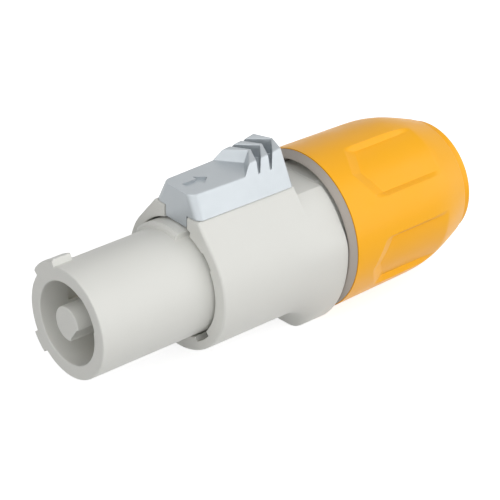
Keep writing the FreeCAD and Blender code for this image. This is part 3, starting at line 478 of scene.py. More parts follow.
def turned_mesh(name, stretches, angles, poles=None):
    """Surface r(x, angle) round the axis: x runs along each stretch in turn, and the stretch's function
    gives the radius there. The stretches join end to end. The surface closes on itself, or in one vertex
    on the axis at each of two poles."""
    sheets = []
    for places, radius in stretches:
        along, turn = np.meshgrid(places, angles, indexing="ij")
        out = radius(along, turn) * np.ones_like(along)
        sheets.append(np.stack([along, -out * np.sin(turn), out * np.cos(turn)], -1))
    points = np.concatenate(sheets)
    rows, across = points.shape[:2]
    faces = grid_faces(rows, across, poles is None).tolist()
    points = points.reshape(-1, 3)
    if poles is not None:
        first = np.arange(across)
        after = (first + 1) % across
        last = first + (rows - 1) * across
        after_last = after + (rows - 1) * across
        start_tip = np.full(across, len(points))
        faces += np.stack([start_tip, after, first], -1).tolist()
        faces += np.stack([start_tip + 1, last, after_last], -1).tolist()
        points = np.concatenate([points, [[poles[0], 0, 0], [poles[1], 0, 0]]])
    return new_mesh(name, points, faces)


def add_piece(mesh, name, finish, body, node, crease=32, bevel=0, even=True):
    """Show a mesh in place of a CAD node, smooth up to the crease angle, with its edges bevelled if asked.
    Even shading is weighed by face area, so that flats stay flat beside their rounded edges."""
    mesh.materials.clear()
    mesh.materials.append(bpy.data.materials[finish])
    mesh.shade_smooth()
    mesh.set_sharp_from_angle(angle=math.radians(crease))
    piece = bpy.data.objects.new(name, mesh)
    bpy.context.scene.collection.objects.link(piece)
    if bevel:
        edges = piece.modifiers.new("Bevel", "BEVEL")
        edges.width = bevel
        edges.segments = 2
        edges.limit_method = "ANGLE"
        edges.angle_limit = math.radians(35)
        edges.miter_outer = "MITER_ARC"
    if even:
        piece.modifiers.new("Even normals", "WEIGHTED_NORMAL").keep_sharp = True
    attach(piece, body)
    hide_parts(node)
    return piece


def box_mesh(low, high):
    """A box between two corners."""
    corners = [(x, y, z) for x in (low[0], high[0]) for y in (low[1], high[1]) for z in (low[2], high[2])]
    faces = [(0, 1, 3, 2), (4, 6, 7, 5), (0, 4, 5, 1), (2, 3, 7, 6), (0, 2, 6, 4), (1, 5, 7, 3)]
    return new_mesh("tool", corners, faces)


def prism_mesh(outline, low, high):
    """An upright prism over a plan outline of (x, y) points."""
    size = len(outline)
    points = [(x, y, z) for z in (low, high) for x, y in outline]
    faces = [tuple(reversed(range(size))), tuple(range(size, 2 * size))]
    faces += [(i, (i + 1) % size, size + (i + 1) % size, size + i) for i in range(size)]
    return new_mesh("tool", points, faces)


def bar_mesh(radius, x, height):
    """A round bar along x at a height over the axis."""
    angles = np.arange(24) * TURN / 24
    points = [(place, radius * math.sin(a), height + radius * math.cos(a)) for place in x for a in angles]
    faces = grid_faces(2, 24, False).tolist() + [list(range(24)), list(range(24, 48))]
    return new_mesh("tool", points, faces)


def combine(mesh, tools, operation):
    """Cut tools from a mesh or join them to it, and give the finished mesh."""
    scene = bpy.context.scene
    work = bpy.data.objects.new("work", mesh)
    scene.collection.objects.link(work)
    helpers = []
    for tool in tools:
        helper = bpy.data.objects.new("helper", tool)
        scene.collection.objects.link(helper)
        helpers.append(helper)
        modifier = work.modifiers.new("Combine", "BOOLEAN")
        modifier.operation = operation
        modifier.solver = "EXACT"
        modifier.object = helper
    graph = bpy.context.evaluated_depsgraph_get()
    result = bpy.data.meshes.new_from_object(work.evaluated_get(graph))
    if not result.polygons:
        raise RuntimeError(f"{mesh.name}: nothing was left after the cut")
    for item in [work, *helpers]:
        bpy.data.objects.remove(item)
    result.name = mesh.name
    return result


def new_finish(name, colour, roughness, metallic=0.0, specular=0.5):
    """A material with one colour, roughness, metal share and strength of reflection."""
    material = bpy.data.materials.new(name)
    material.use_nodes = True
    shader = material.node_tree.nodes["Principled BSDF"]
    shader.inputs["Base Color"].default_value = (*colour, 1)
    shader.inputs["Roughness"].default_value = roughness
    shader.inputs["Metallic"].default_value = metallic
    shader.inputs["Specular IOR Level"].default_value = specular
    return material


def noise(material, size, detail=2.0, stretch=(1, 1, 1)):
    """A noise of a feature size in object space. Gives its value socket."""
    tree = material.node_tree
    place = tree.nodes.new("ShaderNodeTexCoord")
    scale = tree.nodes.new("ShaderNodeMapping")
    texture = tree.nodes.new("ShaderNodeTexNoise")
    scale.inputs["Scale"].default_value = stretch
    texture.inputs["Scale"].default_value = 1 / size
    texture.inputs["Detail"].default_value = detail
    tree.links.new(place.outputs["Object"], scale.inputs["Vector"])
    tree.links.new(scale.outputs["Vector"], texture.inputs["Vector"])
    return texture.outputs["Fac"]


def grain(material, size, depth, detail=2.0, stretch=(1, 1, 1)):
    """Fine relief over the surface."""
    tree = material.node_tree
    shader = tree.nodes["Principled BSDF"]
    bump = tree.nodes.new("ShaderNodeBump")
    bump.inputs["Strength"].default_value = 1.0
    bump.inputs["Distance"].default_value = depth
    if shader.inputs["Normal"].links:
        tree.links.new(shader.inputs["Normal"].links[0].from_socket, bump.inputs["Normal"])
    tree.links.new(noise(material, size, detail, stretch), bump.inputs["Height"])
    tree.links.new(bump.outputs["Normal"], shader.inputs["Normal"])


def mottle(material, size, part):
    """Slight changes of the colour, by a share of it each way."""
    tree = material.node_tree
    colour = tree.nodes["Principled BSDF"].inputs["Base Color"]
    written = np.array(colour.default_value[:3])
    blend = tree.nodes.new("ShaderNodeMix")
    blend.data_type = "RGBA"
    blend.inputs["A"].default_value = (*(written * (1 - part)), 1)
    blend.inputs["B"].default_value = (*np.minimum(written * (1 + part), 1), 1)
    tree.links.new(noise(material, size, 3.0), blend.inputs["Factor"])
    tree.links.new(blend.outputs["Result"], colour)


def uneven_gloss(material, size, low, high):
    """Roughness that wanders between two values, over the part of its range that a noise mostly takes."""
    tree = material.node_tree
    spread = tree.nodes.new("ShaderNodeMapRange")
    spread.inputs["From Min"].default_value = 0.3
    spread.inputs["From Max"].default_value = 0.7
    spread.inputs["To Min"].default_value = low
    spread.inputs["To Max"].default_value = high
    tree.links.new(noise(material, size, 3.0), spread.inputs["Value"])
    tree.links.new(spread.outputs["Result"], tree.nodes["Principled BSDF"].inputs["Roughness"])


def make_finishes():
    """Make every finish of the connector."""
    colours = bpy.context.scene.connector_colours
    shell = new_finish("shell_plastic", colours.shell, 0.42, specular=0.3)
    mottle(shell, 6 * MM, 0.012)
    uneven_gloss(shell, 3 * MM, 0.38, 0.46)
    grain(shell, 0.16 * MM, 0.0035 * MM)
    orange = new_finish("orange_plastic", colours.orange, 0.36, specular=0.3)
    mottle(orange, 8 * MM, 0.02)
    uneven_gloss(orange, 4 * MM, 0.31, 0.4)
    grain(orange, 0.2 * MM, 0.004 * MM)
    nut = new_finish("nut_plastic", colours.nut, 0.46)
    mottle(nut, 4 * MM, 0.03)
    grain(nut, 0.18 * MM, 0.005 * MM)
    zinc = new_finish("zinc", colours.zinc, 0.34, 0.35)
    mottle(zinc, 2.5 * MM, 0.02)
    uneven_gloss(zinc, 1.5 * MM, 0.29, 0.4)
    grain(zinc, 0.09 * MM, 0.003 * MM, 3.0)
    steel = new_finish("steel", colours.steel, 0.28, 1.0)
    uneven_gloss(steel, 1 * MM, 0.24, 0.34)
    grain(steel, 0.05 * MM, 0.0015 * MM)
    brass = new_finish("brass", colours.brass, 0.26, 1.0)
    mottle(brass, 2 * MM, 0.04)
    uneven_gloss(brass, 1.2 * MM, 0.2, 0.34)
    grain(brass, 0.05 * MM, 0.0012 * MM, 2.0, (0.12, 1, 1))
    black = new_finish("black_moulding", colours.black, 0.5)
    grain(black, 0.14 * MM, 0.005 * MM)
    uneven_gloss(black, 3 * MM, 0.45, 0.56)
    natural = new_finish("natural_moulding", colours.natural, 0.4)
    shader = natural.node_tree.nodes["Principled BSDF"]
    shader.inputs["Subsurface Weight"].default_value = 0.12
    shader.inputs["Subsurface Scale"].default_value = 0.8 * MM
    grain(natural, 0.15 * MM, 0.003 * MM)
    rubber = new_finish("rubber", colours.rubber, 0.62)
    grain(rubber, 0.12 * MM, 0.006 * MM)


POLES = ("live", "neutral", "earth")

FINISHED_NODES = {
    "shell_plastic": ["housing", "plug_insert"],
    "black_moulding": ["terminal_block", "retaining_ring"],
    "brass": [f"{pole}_{part}" for pole in POLES for part in ("contact", "clamp_plate")],
    "steel": [f"{pole}_terminal_screw" for pole in POLES] + ["latch_spring", "spring_pin"],
    "zinc": ["latch"],
    "natural_moulding": ["collet"],
    "rubber": ["gland_sleeve"],
    "nut_plastic": ["clamp_nut"],
    "orange_plastic": ["grip_sleeve"],
}


class CONNECTOR_OT_finishes(bpy.types.Operator):
    """Give every CAD node its finish"""

    bl_idname = "connector.finishes"
    bl_label = "Finishes"

    def execute(self, context):
        make_finishes()
        for finish, nodes in FINISHED_NODES.items():
            for node in nodes:
                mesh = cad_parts[node].data
                mesh.materials.clear()
                mesh.materials.append(bpy.data.materials[finish])
        return {"FINISHED"}


def nose_mesh(size):
    """The nose in one surface of four stretches: post, socket wall, outside, and the hollow behind the
    floor. Each radius is the stretch's plain radius, changed inside sectors of the angle by a lug, a step
    or a flat seat, and eased off near the faces by a quarter circle."""
    front, back = ends("plug_insert")
    seat_angle = math.asin(size.seat_half / size.channel_radius)
    post_angle = math.asin(size.seat_half / size.post_radius)
    edge = size.side_edge

    def post(x, turn):
        plain = size.post_radius - round_off(x - front, size.post_edge)
        plain = plain + round_off(size.bore_depth - x, size.floor_fillet)
        seat = flat(size.post_seat, size.live_angle, turn)
        cut = sector(turn, size.live_angle - post_angle, 2 * post_angle, size.seat_edge)
        return mix(plain, np.minimum(plain, seat), cut)

    def socket(x, turn):
        plain = mix(size.near_bore, size.far_bore,
                    sector(turn, size.far_start, TURN + size.key_start - size.far_start, size.step_edge))
        plain = mix(plain, size.key_bore, sector(turn, size.key_start, size.key_sweep, edge))
        for place in (size.earth_angle, size.neutral_angle):
            channel = flat(size.channel_radius, place, turn)
            inside = sector(turn, place - seat_angle, 2 * seat_angle, edge)
            plain = mix(plain, channel, inside * step(x - size.channel_setback))
        plain = plain + round_off(x - front, size.tube_edge)
        return plain - round_off(size.bore_depth - x, size.floor_fillet)

    def outside(x, turn):
        tube = size.tube_radius - round_off(x - front, size.tube_edge)
        lug = size.tube_radius + size.lug_rise - np.clip(size.lug_bevel - (x - front), 0, None)
        lugs = sector(turn, size.wide_start, size.wide_sweep, edge)
        lugs = lugs + sector(turn, size.narrow_start, size.narrow_sweep, edge)
        tube = mix(tube, lug, lugs * (1 - step(x - size.lug_length)))
        bridge = size.tube_radius + size.bridge_rise
        bridge = bridge - np.clip(size.bridge_bevel - (x - size.bridge_front), 0, None)
        on_bridge = sector(turn, size.bridge_start, size.bridge_sweep, edge)
        on_bridge = on_bridge * step(x - size.bridge_front) * (1 - step(x - size.bridge_back))
        tube = mix(tube, bridge, on_bridge)
        flange = np.minimum(size.flange_radius, flat(size.flange_flat, 0, turn))
        return mix(tube, flange, step(x - size.flange_front))

    marks = round_marks(front, size.tube_edge, 1)
    post_marks = round_marks(front, size.post_edge, 1) + round_marks(size.bore_depth, size.floor_fillet, -1)
    steps = around((size.lug_length, size.bridge_front, size.bridge_back, size.flange_front))
    bevels = [size.lug_bevel, size.bridge_front + size.bridge_bevel]
    angles = columns(240, (
        (size.key_start, size.key_sweep),
        (size.earth_angle - seat_angle, 2 * seat_angle),
        (size.neutral_angle - seat_angle, 2 * seat_angle),
        (size.wide_start, size.wide_sweep),
        (size.narrow_start, size.narrow_sweep),
        (size.bridge_start, size.bridge_sweep),
        (size.live_angle - post_angle, 2 * post_angle),
    ), edge, size.far_start + size.step_edge * np.linspace(-0.6, 0.6, 5))
    depth = size.bore_depth
    wall_marks = marks + round_marks(depth, size.floor_fillet, -1) + around((size.channel_setback,))
    return turned_mesh("nose", (
        (stations(front, depth, 1 * MM, post_marks), post),
        (stations(depth, front, 1 * MM, wall_marks), socket),
        (stations(front, back, 0.6 * MM, marks + steps + bevels), outside),
        (stations(back, size.cavity_front, 2 * MM), lambda x, turn: size.cavity_radius),
    ), angles, (front, size.cavity_front))


class CONNECTOR_OT_nose(bpy.types.Operator):
    """Build the round nose with its socket, post, lugs and latch bridge"""

    bl_idname = "connector.nose"
    bl_label = "Nose"

    def execute(self, context):
        mesh = nose_mesh(context.scene.connector_nose)
        add_piece(mesh, "nose", "shell_plastic", "shell", "plug_insert")
        return {"FINISHED"}


def thread(x, turn, lead, depth):
    """Depth of a round-bottomed right-hand thread: a raised cosine of x over the lead, less the turn."""
    return depth * (1 - np.cos(TURN * (x / lead - turn / TURN))) / 2


def housing_mesh(size):
    """The housing as one closed surface. Outside, the radius is the lesser of the rail flat and the flanks
    that are tangent to the barrel, behind the latch the lesser of barrel and pocket flat, and it grows
    below into an oval that is cut level at the foot. The spigot behind it carries the thread."""
    front, back = ends("housing")
    end = front + size.body_length
    rail_end = front + size.rail_length
    lip_end = front + size.lip
    reach = math.hypot(size.rail_half, size.rail_height)
    flank = math.atan2(size.rail_half, size.rail_height) + math.acos(size.radius / reach)
    thread_start = end + size.thread_start
    keyways = (
        (size.keyway_radius, size.bridge_keyway, size.bridge_sweep),
        (size.side_keyway_radius, size.side_keyway, size.side_sweep),
        (size.keyway_radius, size.low_keyway, size.low_sweep),
    )

    def barrel(x, turn):
        lean = np.abs(wrap(turn))
        flanks = size.radius / np.cos(np.minimum(lean - flank, 0))
        rails = soft_min(flat(size.rail_height, 0, turn), flanks, size.rail_blend)
        pocket = np.minimum(size.radius, flat(size.pocket, 0, turn))
        return mix(rails, pocket, step(x - rail_end))

    def flared(x, turn):
        lean = np.abs(wrap(turn))
        oval = 1 / np.sqrt((np.sin(turn) / size.foot_side) ** 2 + (np.cos(turn) / size.foot_reach) ** 2)
        level = flat(size.foot_depth, TURN / 2, turn)
        full = soft_min(oval, level, size.foot_blend)
        below = rise(lean - size.flare_top, size.flare_blend)
        bottom = rise(lean - size.bottom_start, size.bottom_blend)
        start = mix(size.side_start, size.foot_start, bottom)
        stop = mix(size.side_end, size.foot_end, bottom)
        grown = below * rise(x - start, stop - start)
        plain = barrel(x, turn)
        return mix(plain, np.maximum(full, plain), grown)

    def outside(x, turn):
        shell = flared(np.minimum(x, end), turn)
        shell = shell - round_off(x - front, size.edge) - round_off(end - x, size.rear_edge)
        on_thread = step(x - thread_start, size.thread_fade)
        on_thread = on_thread * (1 - step(x - back + size.thread_end, size.thread_fade))
        spigot = size.spigot - thread(x, turn, size.thread_lead, size.thread_depth) * on_thread
        spigot = spigot - round_off(back - x, size.spigot_edge)
        pocket = mix(flat(size.pocket, 0, turn), 2 * size.spigot, step(x - end - size.pocket_reach))
        return mix(shell, np.minimum(spigot, pocket), step(x - end + CRISP))

    def inside(x, turn):
        mouth = size.mouth_radius + 0 * turn
        for radius, start, sweep in keyways:
            mouth = mix(mouth, radius, sector(turn, start, sweep, size.keyway_edge))
        mouth = mix(mouth, size.mouth_radius, step(x - front - size.keyway_depth))
        mouth = mouth + round_off(x - front, size.mouth_edge)
        room = np.minimum(size.room_radius, flat(size.roof, 0, turn))
        return mix(mouth, room, step(x - lip_end)) + round_off(back - x, size.mouth_edge)

    corners = [math.atan2(size.rail_half, size.rail_height)] + [
        math.acos(level / radius) for level, radius in (
            (size.pocket, size.radius), (size.pocket, size.spigot), (size.roof, size.room_radius))]
    angles = columns(288, [keyway[1:] for keyway in keyways], size.keyway_edge, [
        side * place for side in (-1, 1) for corner in corners
        for place in corner + np.radians([-0.4, -0.15, 0, 0.15, 0.4])])
    outer_marks = round_marks(front, size.edge, 1) + round_marks(end, size.rear_edge, -1)
    outer_marks += around((rail_end, end - CRISP, end + size.pocket_reach))
    outer_marks += round_marks(back, size.spigot_edge, -1)
    outer_marks += list(np.arange(end + 1 * MM, back, 0.16 * MM))
    inner_marks = round_marks(front, size.mouth_edge, 1) + around((front + size.keyway_depth, lip_end))
    inner_marks += round_marks(back, size.mouth_edge, -1)
    return turned_mesh("housing_shell", (
        (stations(front, back, 0.5 * MM, outer_marks), outside),
        (stations(back, front, 1.5 * MM, inner_marks), inside),
    ), angles)


def housing_tools(size):
    """The two latch slots through the rail flat, and the hole in the bar between them."""
    front = ends("housing")[0]
    bar = front + size.slot_length
    rear = bar + size.bar
    low = size.roof - OVERCUT
    high = size.rail_height + OVERCUT
    return [
        box_mesh((front - OVERCUT, -size.slot_half, low), (bar, size.slot_half, high)),
        box_mesh((rear, -size.slot_half, low), (rear + size.rear_slot, size.slot_half, high)),
        bar_mesh(size.pin_hole, (bar - OVERCUT, rear + OVERCUT), size.pin_height),
    ]


class CONNECTOR_OT_housing(bpy.types.Operator):
    """Build the housing with its rails, slots, foot and threaded spigot"""

    bl_idname = "connector.housing"
    bl_label = "Housing"

    def execute(self, context):
        size = context.scene.connector_housing
        mesh = combine(housing_mesh(size), housing_tools(size), "DIFFERENCE")
        add_piece(mesh, "housing_shell", "shell_plastic", "shell", "housing")
        return {"FINISHED"}


def rounded_line(corners, segments=4):
    """A line through (along, height, rounding) corners, each replaced by a curve of second degree."""
    line = []
    for index, (along, height, rounding) in enumerate(corners):
        corner = np.array([along, height])
        if index in (0, len(corners) - 1) or rounding == 0:
            line.append(corner)
            continue
        before = np.array(corners[index - 1][:2]) - corner
        after = np.array(corners[index + 1][:2]) - corner
        start = corner + before / np.linalg.norm(before) * min(rounding, np.linalg.norm(before) / 2)
        stop = corner + after / np.linalg.norm(after) * min(rounding, np.linalg.norm(after) / 2)
        for part in np.linspace(0, 1, segments + 1):
            line.append((1 - part) ** 2 * start + 2 * part * (1 - part) * corner + part ** 2 * stop)
    return np.array(line)


def subdivided(line, pitch):
    """The same line with its long runs divided."""
    points = [line[:1]]
    for start, stop in zip(line[:-1], line[1:]):
        parts = max(1, math.ceil(np.linalg.norm(stop - start) / pitch))
        points.append(start + (stop - start) * (np.arange(1, parts + 1) / parts)[:, None])
    return np.concatenate(points)


def latch_climb(size):
    """Rise of the latch's top along x behind the first fin."""
    return size.climb / (size.side_length + size.rear_sweep - size.fin_start)


def latch_line(size):
    """Top of the latch along its side, as (place, height), with the place of each V and its sweep."""
    front = ends("latch")[0]
    fin = front + size.fin_start
    rear = front + size.side_length
    climb = latch_climb(size)
    floor = size.plate_height - size.slot_drop
    fillet = size.edge
    corners = [(front, size.plate_height, 0), (fin - size.fin_lean, size.plate_height, fillet)]
    knots = [(front, 0), (fin - size.fin_lean, size.front_sweep)]
    for number in range(size.fin_count):
        start = fin + size.fin_pitch * number
        stop = start + size.fin_side
        corners.append((start, size.fin_height + climb * (start - fin), fillet))
        knots.append((start, size.front_sweep))
        if number < size.fin_count - 1:
            corners.append((stop, size.fin_height + climb * (stop - fin), fillet))
            corners.append((stop + size.wall_lean, floor, fillet))
            corners.append((start + size.fin_pitch - size.wall_lean, floor, fillet))
            knots.append((stop, size.back_sweep))
            knots.append((stop + size.wall_lean, size.back_sweep))
            knots.append((start + size.fin_pitch - size.wall_lean, size.front_sweep))
    corners.append((rear, size.fin_height + climb * (rear - fin), 0))
    knots.append((rear, size.rear_sweep))
    return subdivided(rounded_line(corners), 0.5 * MM), np.array(knots)


def latch_mesh(size):
    """The latch's bar as a loft. Each station has a section with sloping sides and a rounded top edge. A
    point at a half width y stands at the station plus the sweep there times (1 - |y| / side half width),
    which draws the V of the fins, and the tops climb with it. Behind the last slot the stations lean
    forward with their height. Near both ends the section draws in by a quarter circle."""
    line, knots = latch_line(size)
    front, rear = line[0, 0], line[-1, 0]
    ease = np.concatenate([front + size.corner * (1 - np.cos(np.linspace(0.08, 0.5, 7) * math.pi)),
                           rear - size.edge * (1 - np.cos(np.linspace(0.1, 0.5, 5) * math.pi))])
    extra = np.stack([ease, np.interp(ease, line[:, 0], line[:, 1])], -1)
    line = np.concatenate([line, extra])
    line = line[np.argsort(line[:, 0], kind="stable")]
    place, height = line[:, 0], line[:, 1]
    sweep = np.interp(place, knots[:, 0], knots[:, 1])
    drawn_in = round_off(place - front, size.corner) + round_off(rear - place, size.edge)
    top = height - round_off(place - front, size.edge) - round_off(rear - place, size.edge)
    crest = mix(size.front_crest, size.rear_crest, (place - front) / (rear - front))
    base_half = size.base_half + size.base_flare * (place - front) / (rear - front)
    slope = (base_half - crest) / (size.crest_height - size.base_height)

    def half_width(z):
        return base_half - drawn_in - slope * (z - size.base_height)

    low = size.base_height + 0 * place
    foot = low + size.base_edge
    under = top - size.edge
    corner = half_width(top)
    columns_ = [(part * (half_width(low) - size.base_edge), low) for part in np.linspace(0, 1, 5)]
    columns_ += [(half_width(z), z) for z in (mix(foot, under, part) for part in np.linspace(0, 1, 9))]
    for part in np.linspace(0.2, 0.8, 4):
        bend = (1 - part) ** 2 * half_width(under) + 2 * part * (1 - part) * corner
        bend = bend + part ** 2 * (corner - size.edge)
        columns_.append((bend, (1 - part) ** 2 * under + (1 - (1 - part) ** 2) * top))
    columns_ += [(part * (corner - size.edge), top) for part in np.linspace(1, 0, 9)]
    half = np.stack([np.stack([y, z], -1) for y, z in columns_], 1)
    other = half[:, -2:0:-1] * (-1, 1)
    section = np.concatenate([half, other], 1)
    shift = sweep[:, None] * (1 - np.abs(section[..., 0]) / size.sweep_half)
    above = np.clip((section[..., 1] - size.plate_height) / (size.fin_height - size.plate_height), 0, 1)
    climbing = place > front + size.fin_start - size.climb_lead
    section[..., 1] += latch_climb(size) * shift * above * climbing[:, None]
    last_fin = front + size.fin_start + size.fin_pitch * (size.fin_count - 1)
    leaning = np.clip((place - last_fin) / (rear - last_fin), 0, 1)[:, None] * size.rear_lean
    height_share = (section[..., 1] - size.base_height) / (size.crest_height - size.base_height)
    along = place[:, None] + shift - leaning * height_share
    points = np.concatenate([along[..., None], section], -1)
    rows, across = points.shape[:2]
    faces = grid_faces(rows, across, False).tolist()
    middle = half.shape[1] - 1
    for base in (0, (rows - 1) * across):
        faces.append([base + i for i in range(middle + 1)])
        faces.append([base + i % across for i in range(middle, across + 1)])
    return new_mesh("latch_bar", points.reshape(-1, 3), faces)


def latch_stems(size):
    """The stems under the bar and the hooks at the rear one."""
    front = ends("latch")[0]
    rear = front + size.rear_stem
    rear_end = rear + size.rear_stem_length
    top = size.base_height + size.edge
    tools = [box_mesh((front, -size.stem_half, size.front_stem_low),
                      (front + size.front_stem, size.stem_half, top))]
    for side in (-1, 1):
        for reach, low, high in ((size.stem_half, size.hook_high, top),
                                 (size.hook_half, size.hook_low, size.hook_high)):
            inner, outer = sorted((side * size.slit_half, side * reach))
            tools.append(box_mesh((rear, inner, low), (rear_end, outer, high)))
    return tools


def arrow_tool(size):
    """A plain arrow that points to the rear, as a prism that reaches into the plate."""
    start = ends("latch")[0] + size.arrow_start
    tip = start + size.arrow_length
    neck = tip - size.arrow_head
    outline = [(start, -size.arrow_shaft), (neck, -size.arrow_shaft), (neck, -size.arrow_half), (tip, 0),
               (neck, size.arrow_half), (neck, size.arrow_shaft), (start, size.arrow_shaft)]
    return prism_mesh(outline, size.plate_height - size.arrow_depth, size.plate_height + OVERCUT)


class CONNECTOR_OT_latch(bpy.types.Operator):
    """Build the sliding latch with its thumb fins, arrow, stems and hooks"""

    bl_idname = "connector.latch"
    bl_label = "Latch"

    def execute(self, context):
        size = context.scene.connector_latch
        mesh = combine(latch_mesh(size), [arrow_tool(size)], "DIFFERENCE")
        mesh = combine(mesh, latch_stems(size), "UNION")
        add_piece(mesh, "latch_bar", "zinc", "slider", "latch", crease=28)
        return {"FINISHED"}


def nut_mesh(size):
    """The clamp nut as one closed surface. Outside, straight lines join the collar, the barrel and the
    tail. Inside, a wide mouth and the threaded bore are followed by the clamping cone and the entry."""
    front, back = ends("clamp_nut")
    collar_end = front + size.collar
    taper = front + size.barrel
    bore_end = front + size.bore_length

    def outside(x, turn):
        collar = mix(size.collar_front, size.grip_radius, (x - front) / size.collar)
        collar = collar - round_off(x - front, size.collar_edge)
        sleeve = np.interp(x, (front, taper, back), (size.outer, size.outer, size.tail))
        return mix(collar, sleeve, step(x - collar_end + CRISP))

    def inside(x, turn):
        on_thread = step(x - front - size.mouth_depth - size.thread_fade, size.thread_fade)
        on_thread = on_thread * (1 - step(x - bore_end + size.thread_end, size.thread_fade))
        bore = size.bore + thread(x, turn, size.thread_lead, size.thread_depth) * on_thread
        bore = mix(size.mouth, bore, step(x - front - size.mouth_depth))
        cone = np.interp(x, (bore_end, size.cone_end), (size.cone_root, size.cone_tip))
        bore = mix(bore, cone, step(x - bore_end))
        return mix(bore, size.entry, step(x - size.cone_end))

    outer_marks = round_marks(front, size.collar_edge, 1) + around((collar_end - CRISP,)) + [taper]
    inner_marks = around((bore_end, size.cone_end)) + list(np.arange(front, bore_end, 0.2 * MM))
    inner_marks += around((front + size.mouth_depth,))
    return turned_mesh("clamping_nut", (
        (stations(front, back, 1 * MM, outer_marks), outside),
        (stations(back, front, 1 * MM, inner_marks), inside),
    ), columns(240))


class CONNECTOR_OT_nut(bpy.types.Operator):
    """Build the warm grey clamp nut with its sloping collar"""

    bl_idname = "connector.nut"
    bl_label = "Clamp nut"

    def execute(self, context):
        mesh = nut_mesh(context.scene.connector_nut)
        add_piece(mesh, "clamping_nut", "nut_plastic", "nut", "clamp_nut")
        return {"FINISHED"}


def grip_mesh(size):
    """The grip as one closed surface. Its outside is the lesser of the barrel and two crown slopes. In a
    channel it falls to the floor's radius by a trapezium across the angle, times a ramp along x that
    starts on a pointed arch, until the crown itself comes down to the floor."""
    front, back = ends("grip_sleeve")
    nut_front, nut_back = ends("clamp_nut")
    crown = front + size.grip_barrel
    middle = crown + size.crown_middle
    taper = nut_front + size.barrel
    half = size.channel_sweep / 2
    middles = [size.channel_start + half + size.channel_pitch * second + TURN * pair / size.channel_pairs
               for pair in range(size.channel_pairs) for second in (0, 1)]
    first_slope = (size.middle_radius - size.shoulder) / (middle - crown)
    second_slope = (size.end_radius - size.middle_radius) / (nut_back - middle)

    def outside(x, turn):
        barrel = mix(size.grip_radius, size.shoulder, (x - front) / size.grip_barrel)
        upper = size.shoulder + first_slope * (x - crown)
        lower = size.middle_radius + second_slope * (x - middle)
        surface = soft_min(soft_min(barrel, upper, size.crown_blend), lower, size.crown_blend)
        off = np.min([np.abs(wrap(turn - middle)) for middle in middles], axis=0)
        across = np.clip((half - off) / size.channel_wall, 0, 1)
        arch = size.channel_arch * np.minimum(off / half, 1) ** size.channel_bow
        start = front + size.channel_front + arch
        along = np.clip((x - start) / size.channel_ramp, 0, 1)
        surface = surface - np.maximum(surface - size.channel_floor, 0) * across * along
        surface = surface - round_off(nut_back - x, size.crown_edge)
        disc = size.disc - round_off(back - x, size.disc_edge)
        return mix(surface, disc, step(x - nut_back - CRISP))

    def inside(x, turn):
        cover = np.interp(x, (front, taper, nut_back), (size.outer, size.outer, size.tail))
        return mix(cover, size.entry + round_off(back - x, size.disc_edge), step(x - nut_back))

    wall_columns = [middle + side * (half - size.channel_wall * part)
                    for middle in middles for side in (-1, 1) for part in (-0.04, 0, 0.5, 1, 1.04)]
    arch = front + size.channel_front
    outer_marks = list(np.arange(arch, arch + size.channel_arch + size.channel_ramp, 0.12 * MM))
    outer_marks += round_marks(nut_back, size.crown_edge, -1) + around((nut_back + CRISP,))
    outer_marks += round_marks(back, size.disc_edge, -1)
    return turned_mesh("grip_cover", (
        (stations(front, back, 0.3 * MM, outer_marks), outside),
        (stations(back, front, 2 * MM, around((nut_back,)) + [taper]
                  + round_marks(back, size.disc_edge, -1)), inside),
    ), columns(360, extra=wall_columns))


class CONNECTOR_OT_grip(bpy.types.Operator):
    """Build the orange grip with its channels, crown and rear disc"""

    bl_idname = "connector.grip"
    bl_label = "Grip"

    def execute(self, context):
        mesh = grip_mesh(context.scene.connector_nut)
        add_piece(mesh, "grip_cover", "orange_plastic", "nut", "grip_sleeve")
        return {"FINISHED"}


def seal_mesh(size):
    """The cable seal: a tube whose inside is a cosine wave of x, which makes round ribs."""
    front, back = ends("gland_sleeve")

    def outside(x, turn):
        return size.seal_outer - round_off(x - front, size.seal_edge) - round_off(back - x, size.seal_edge)

    def inside(x, turn):
        wave = (1 - np.cos(TURN * size.ribs * (x - front) / (back - front))) / 2
        return size.seal_inner + size.rib_depth * wave

    marks = round_marks(front, size.seal_edge, 1) + round_marks(back, size.seal_edge, -1)
    return turned_mesh("cable_seal", (
        (stations(front, back, 1 * MM, marks), outside),
        (stations(back, front, 0.2 * MM), inside),
    ), columns(96))


def spring_mesh(size):
    """The latch spring: a round wire along a helix, closed by a vertex at each end."""
    low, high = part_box("latch_spring")
    height = (low.z + high.z) / 2
    start = low.x + size.spring_wire
    stop = high.x - size.spring_wire
    turns = np.linspace(0, TURN * size.spring_turns, 48 * size.spring_turns + 1)
    centre = np.stack([mix(start, stop, turns / turns[-1]), -size.spring_radius * np.sin(turns),
                       height + size.spring_radius * np.cos(turns)], -1)
    outward = np.stack([0 * turns, -np.sin(turns), np.cos(turns)], -1)
    onward = np.gradient(centre, axis=0)
    onward /= np.linalg.norm(onward, axis=1)[:, None]
    beside = np.cross(onward, outward)
    round_wire = np.arange(14) * TURN / 14
    ring = (outward[:, None] * np.cos(round_wire)[:, None] + beside[:, None] * np.sin(round_wire)[:, None])
    points = (centre[:, None] + size.spring_wire * ring).reshape(-1, 3)
    faces = grid_faces(len(turns), 14, False).tolist()
    last = (len(turns) - 1) * 14
    faces += [list(range(14)), [last + i for i in range(14)]]
    return new_mesh("coil", points, faces)


def finished_copy(node, name, finish, body, bevel):
    """Show a copy of a CAD node's mesh with joined flats and bevelled edges."""
    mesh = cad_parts[node].data.copy()
    tidy_mesh(mesh, merge=0.001 * MM, flatten=True)
    add_piece(mesh, name, finish, body, node, bevel=bevel)


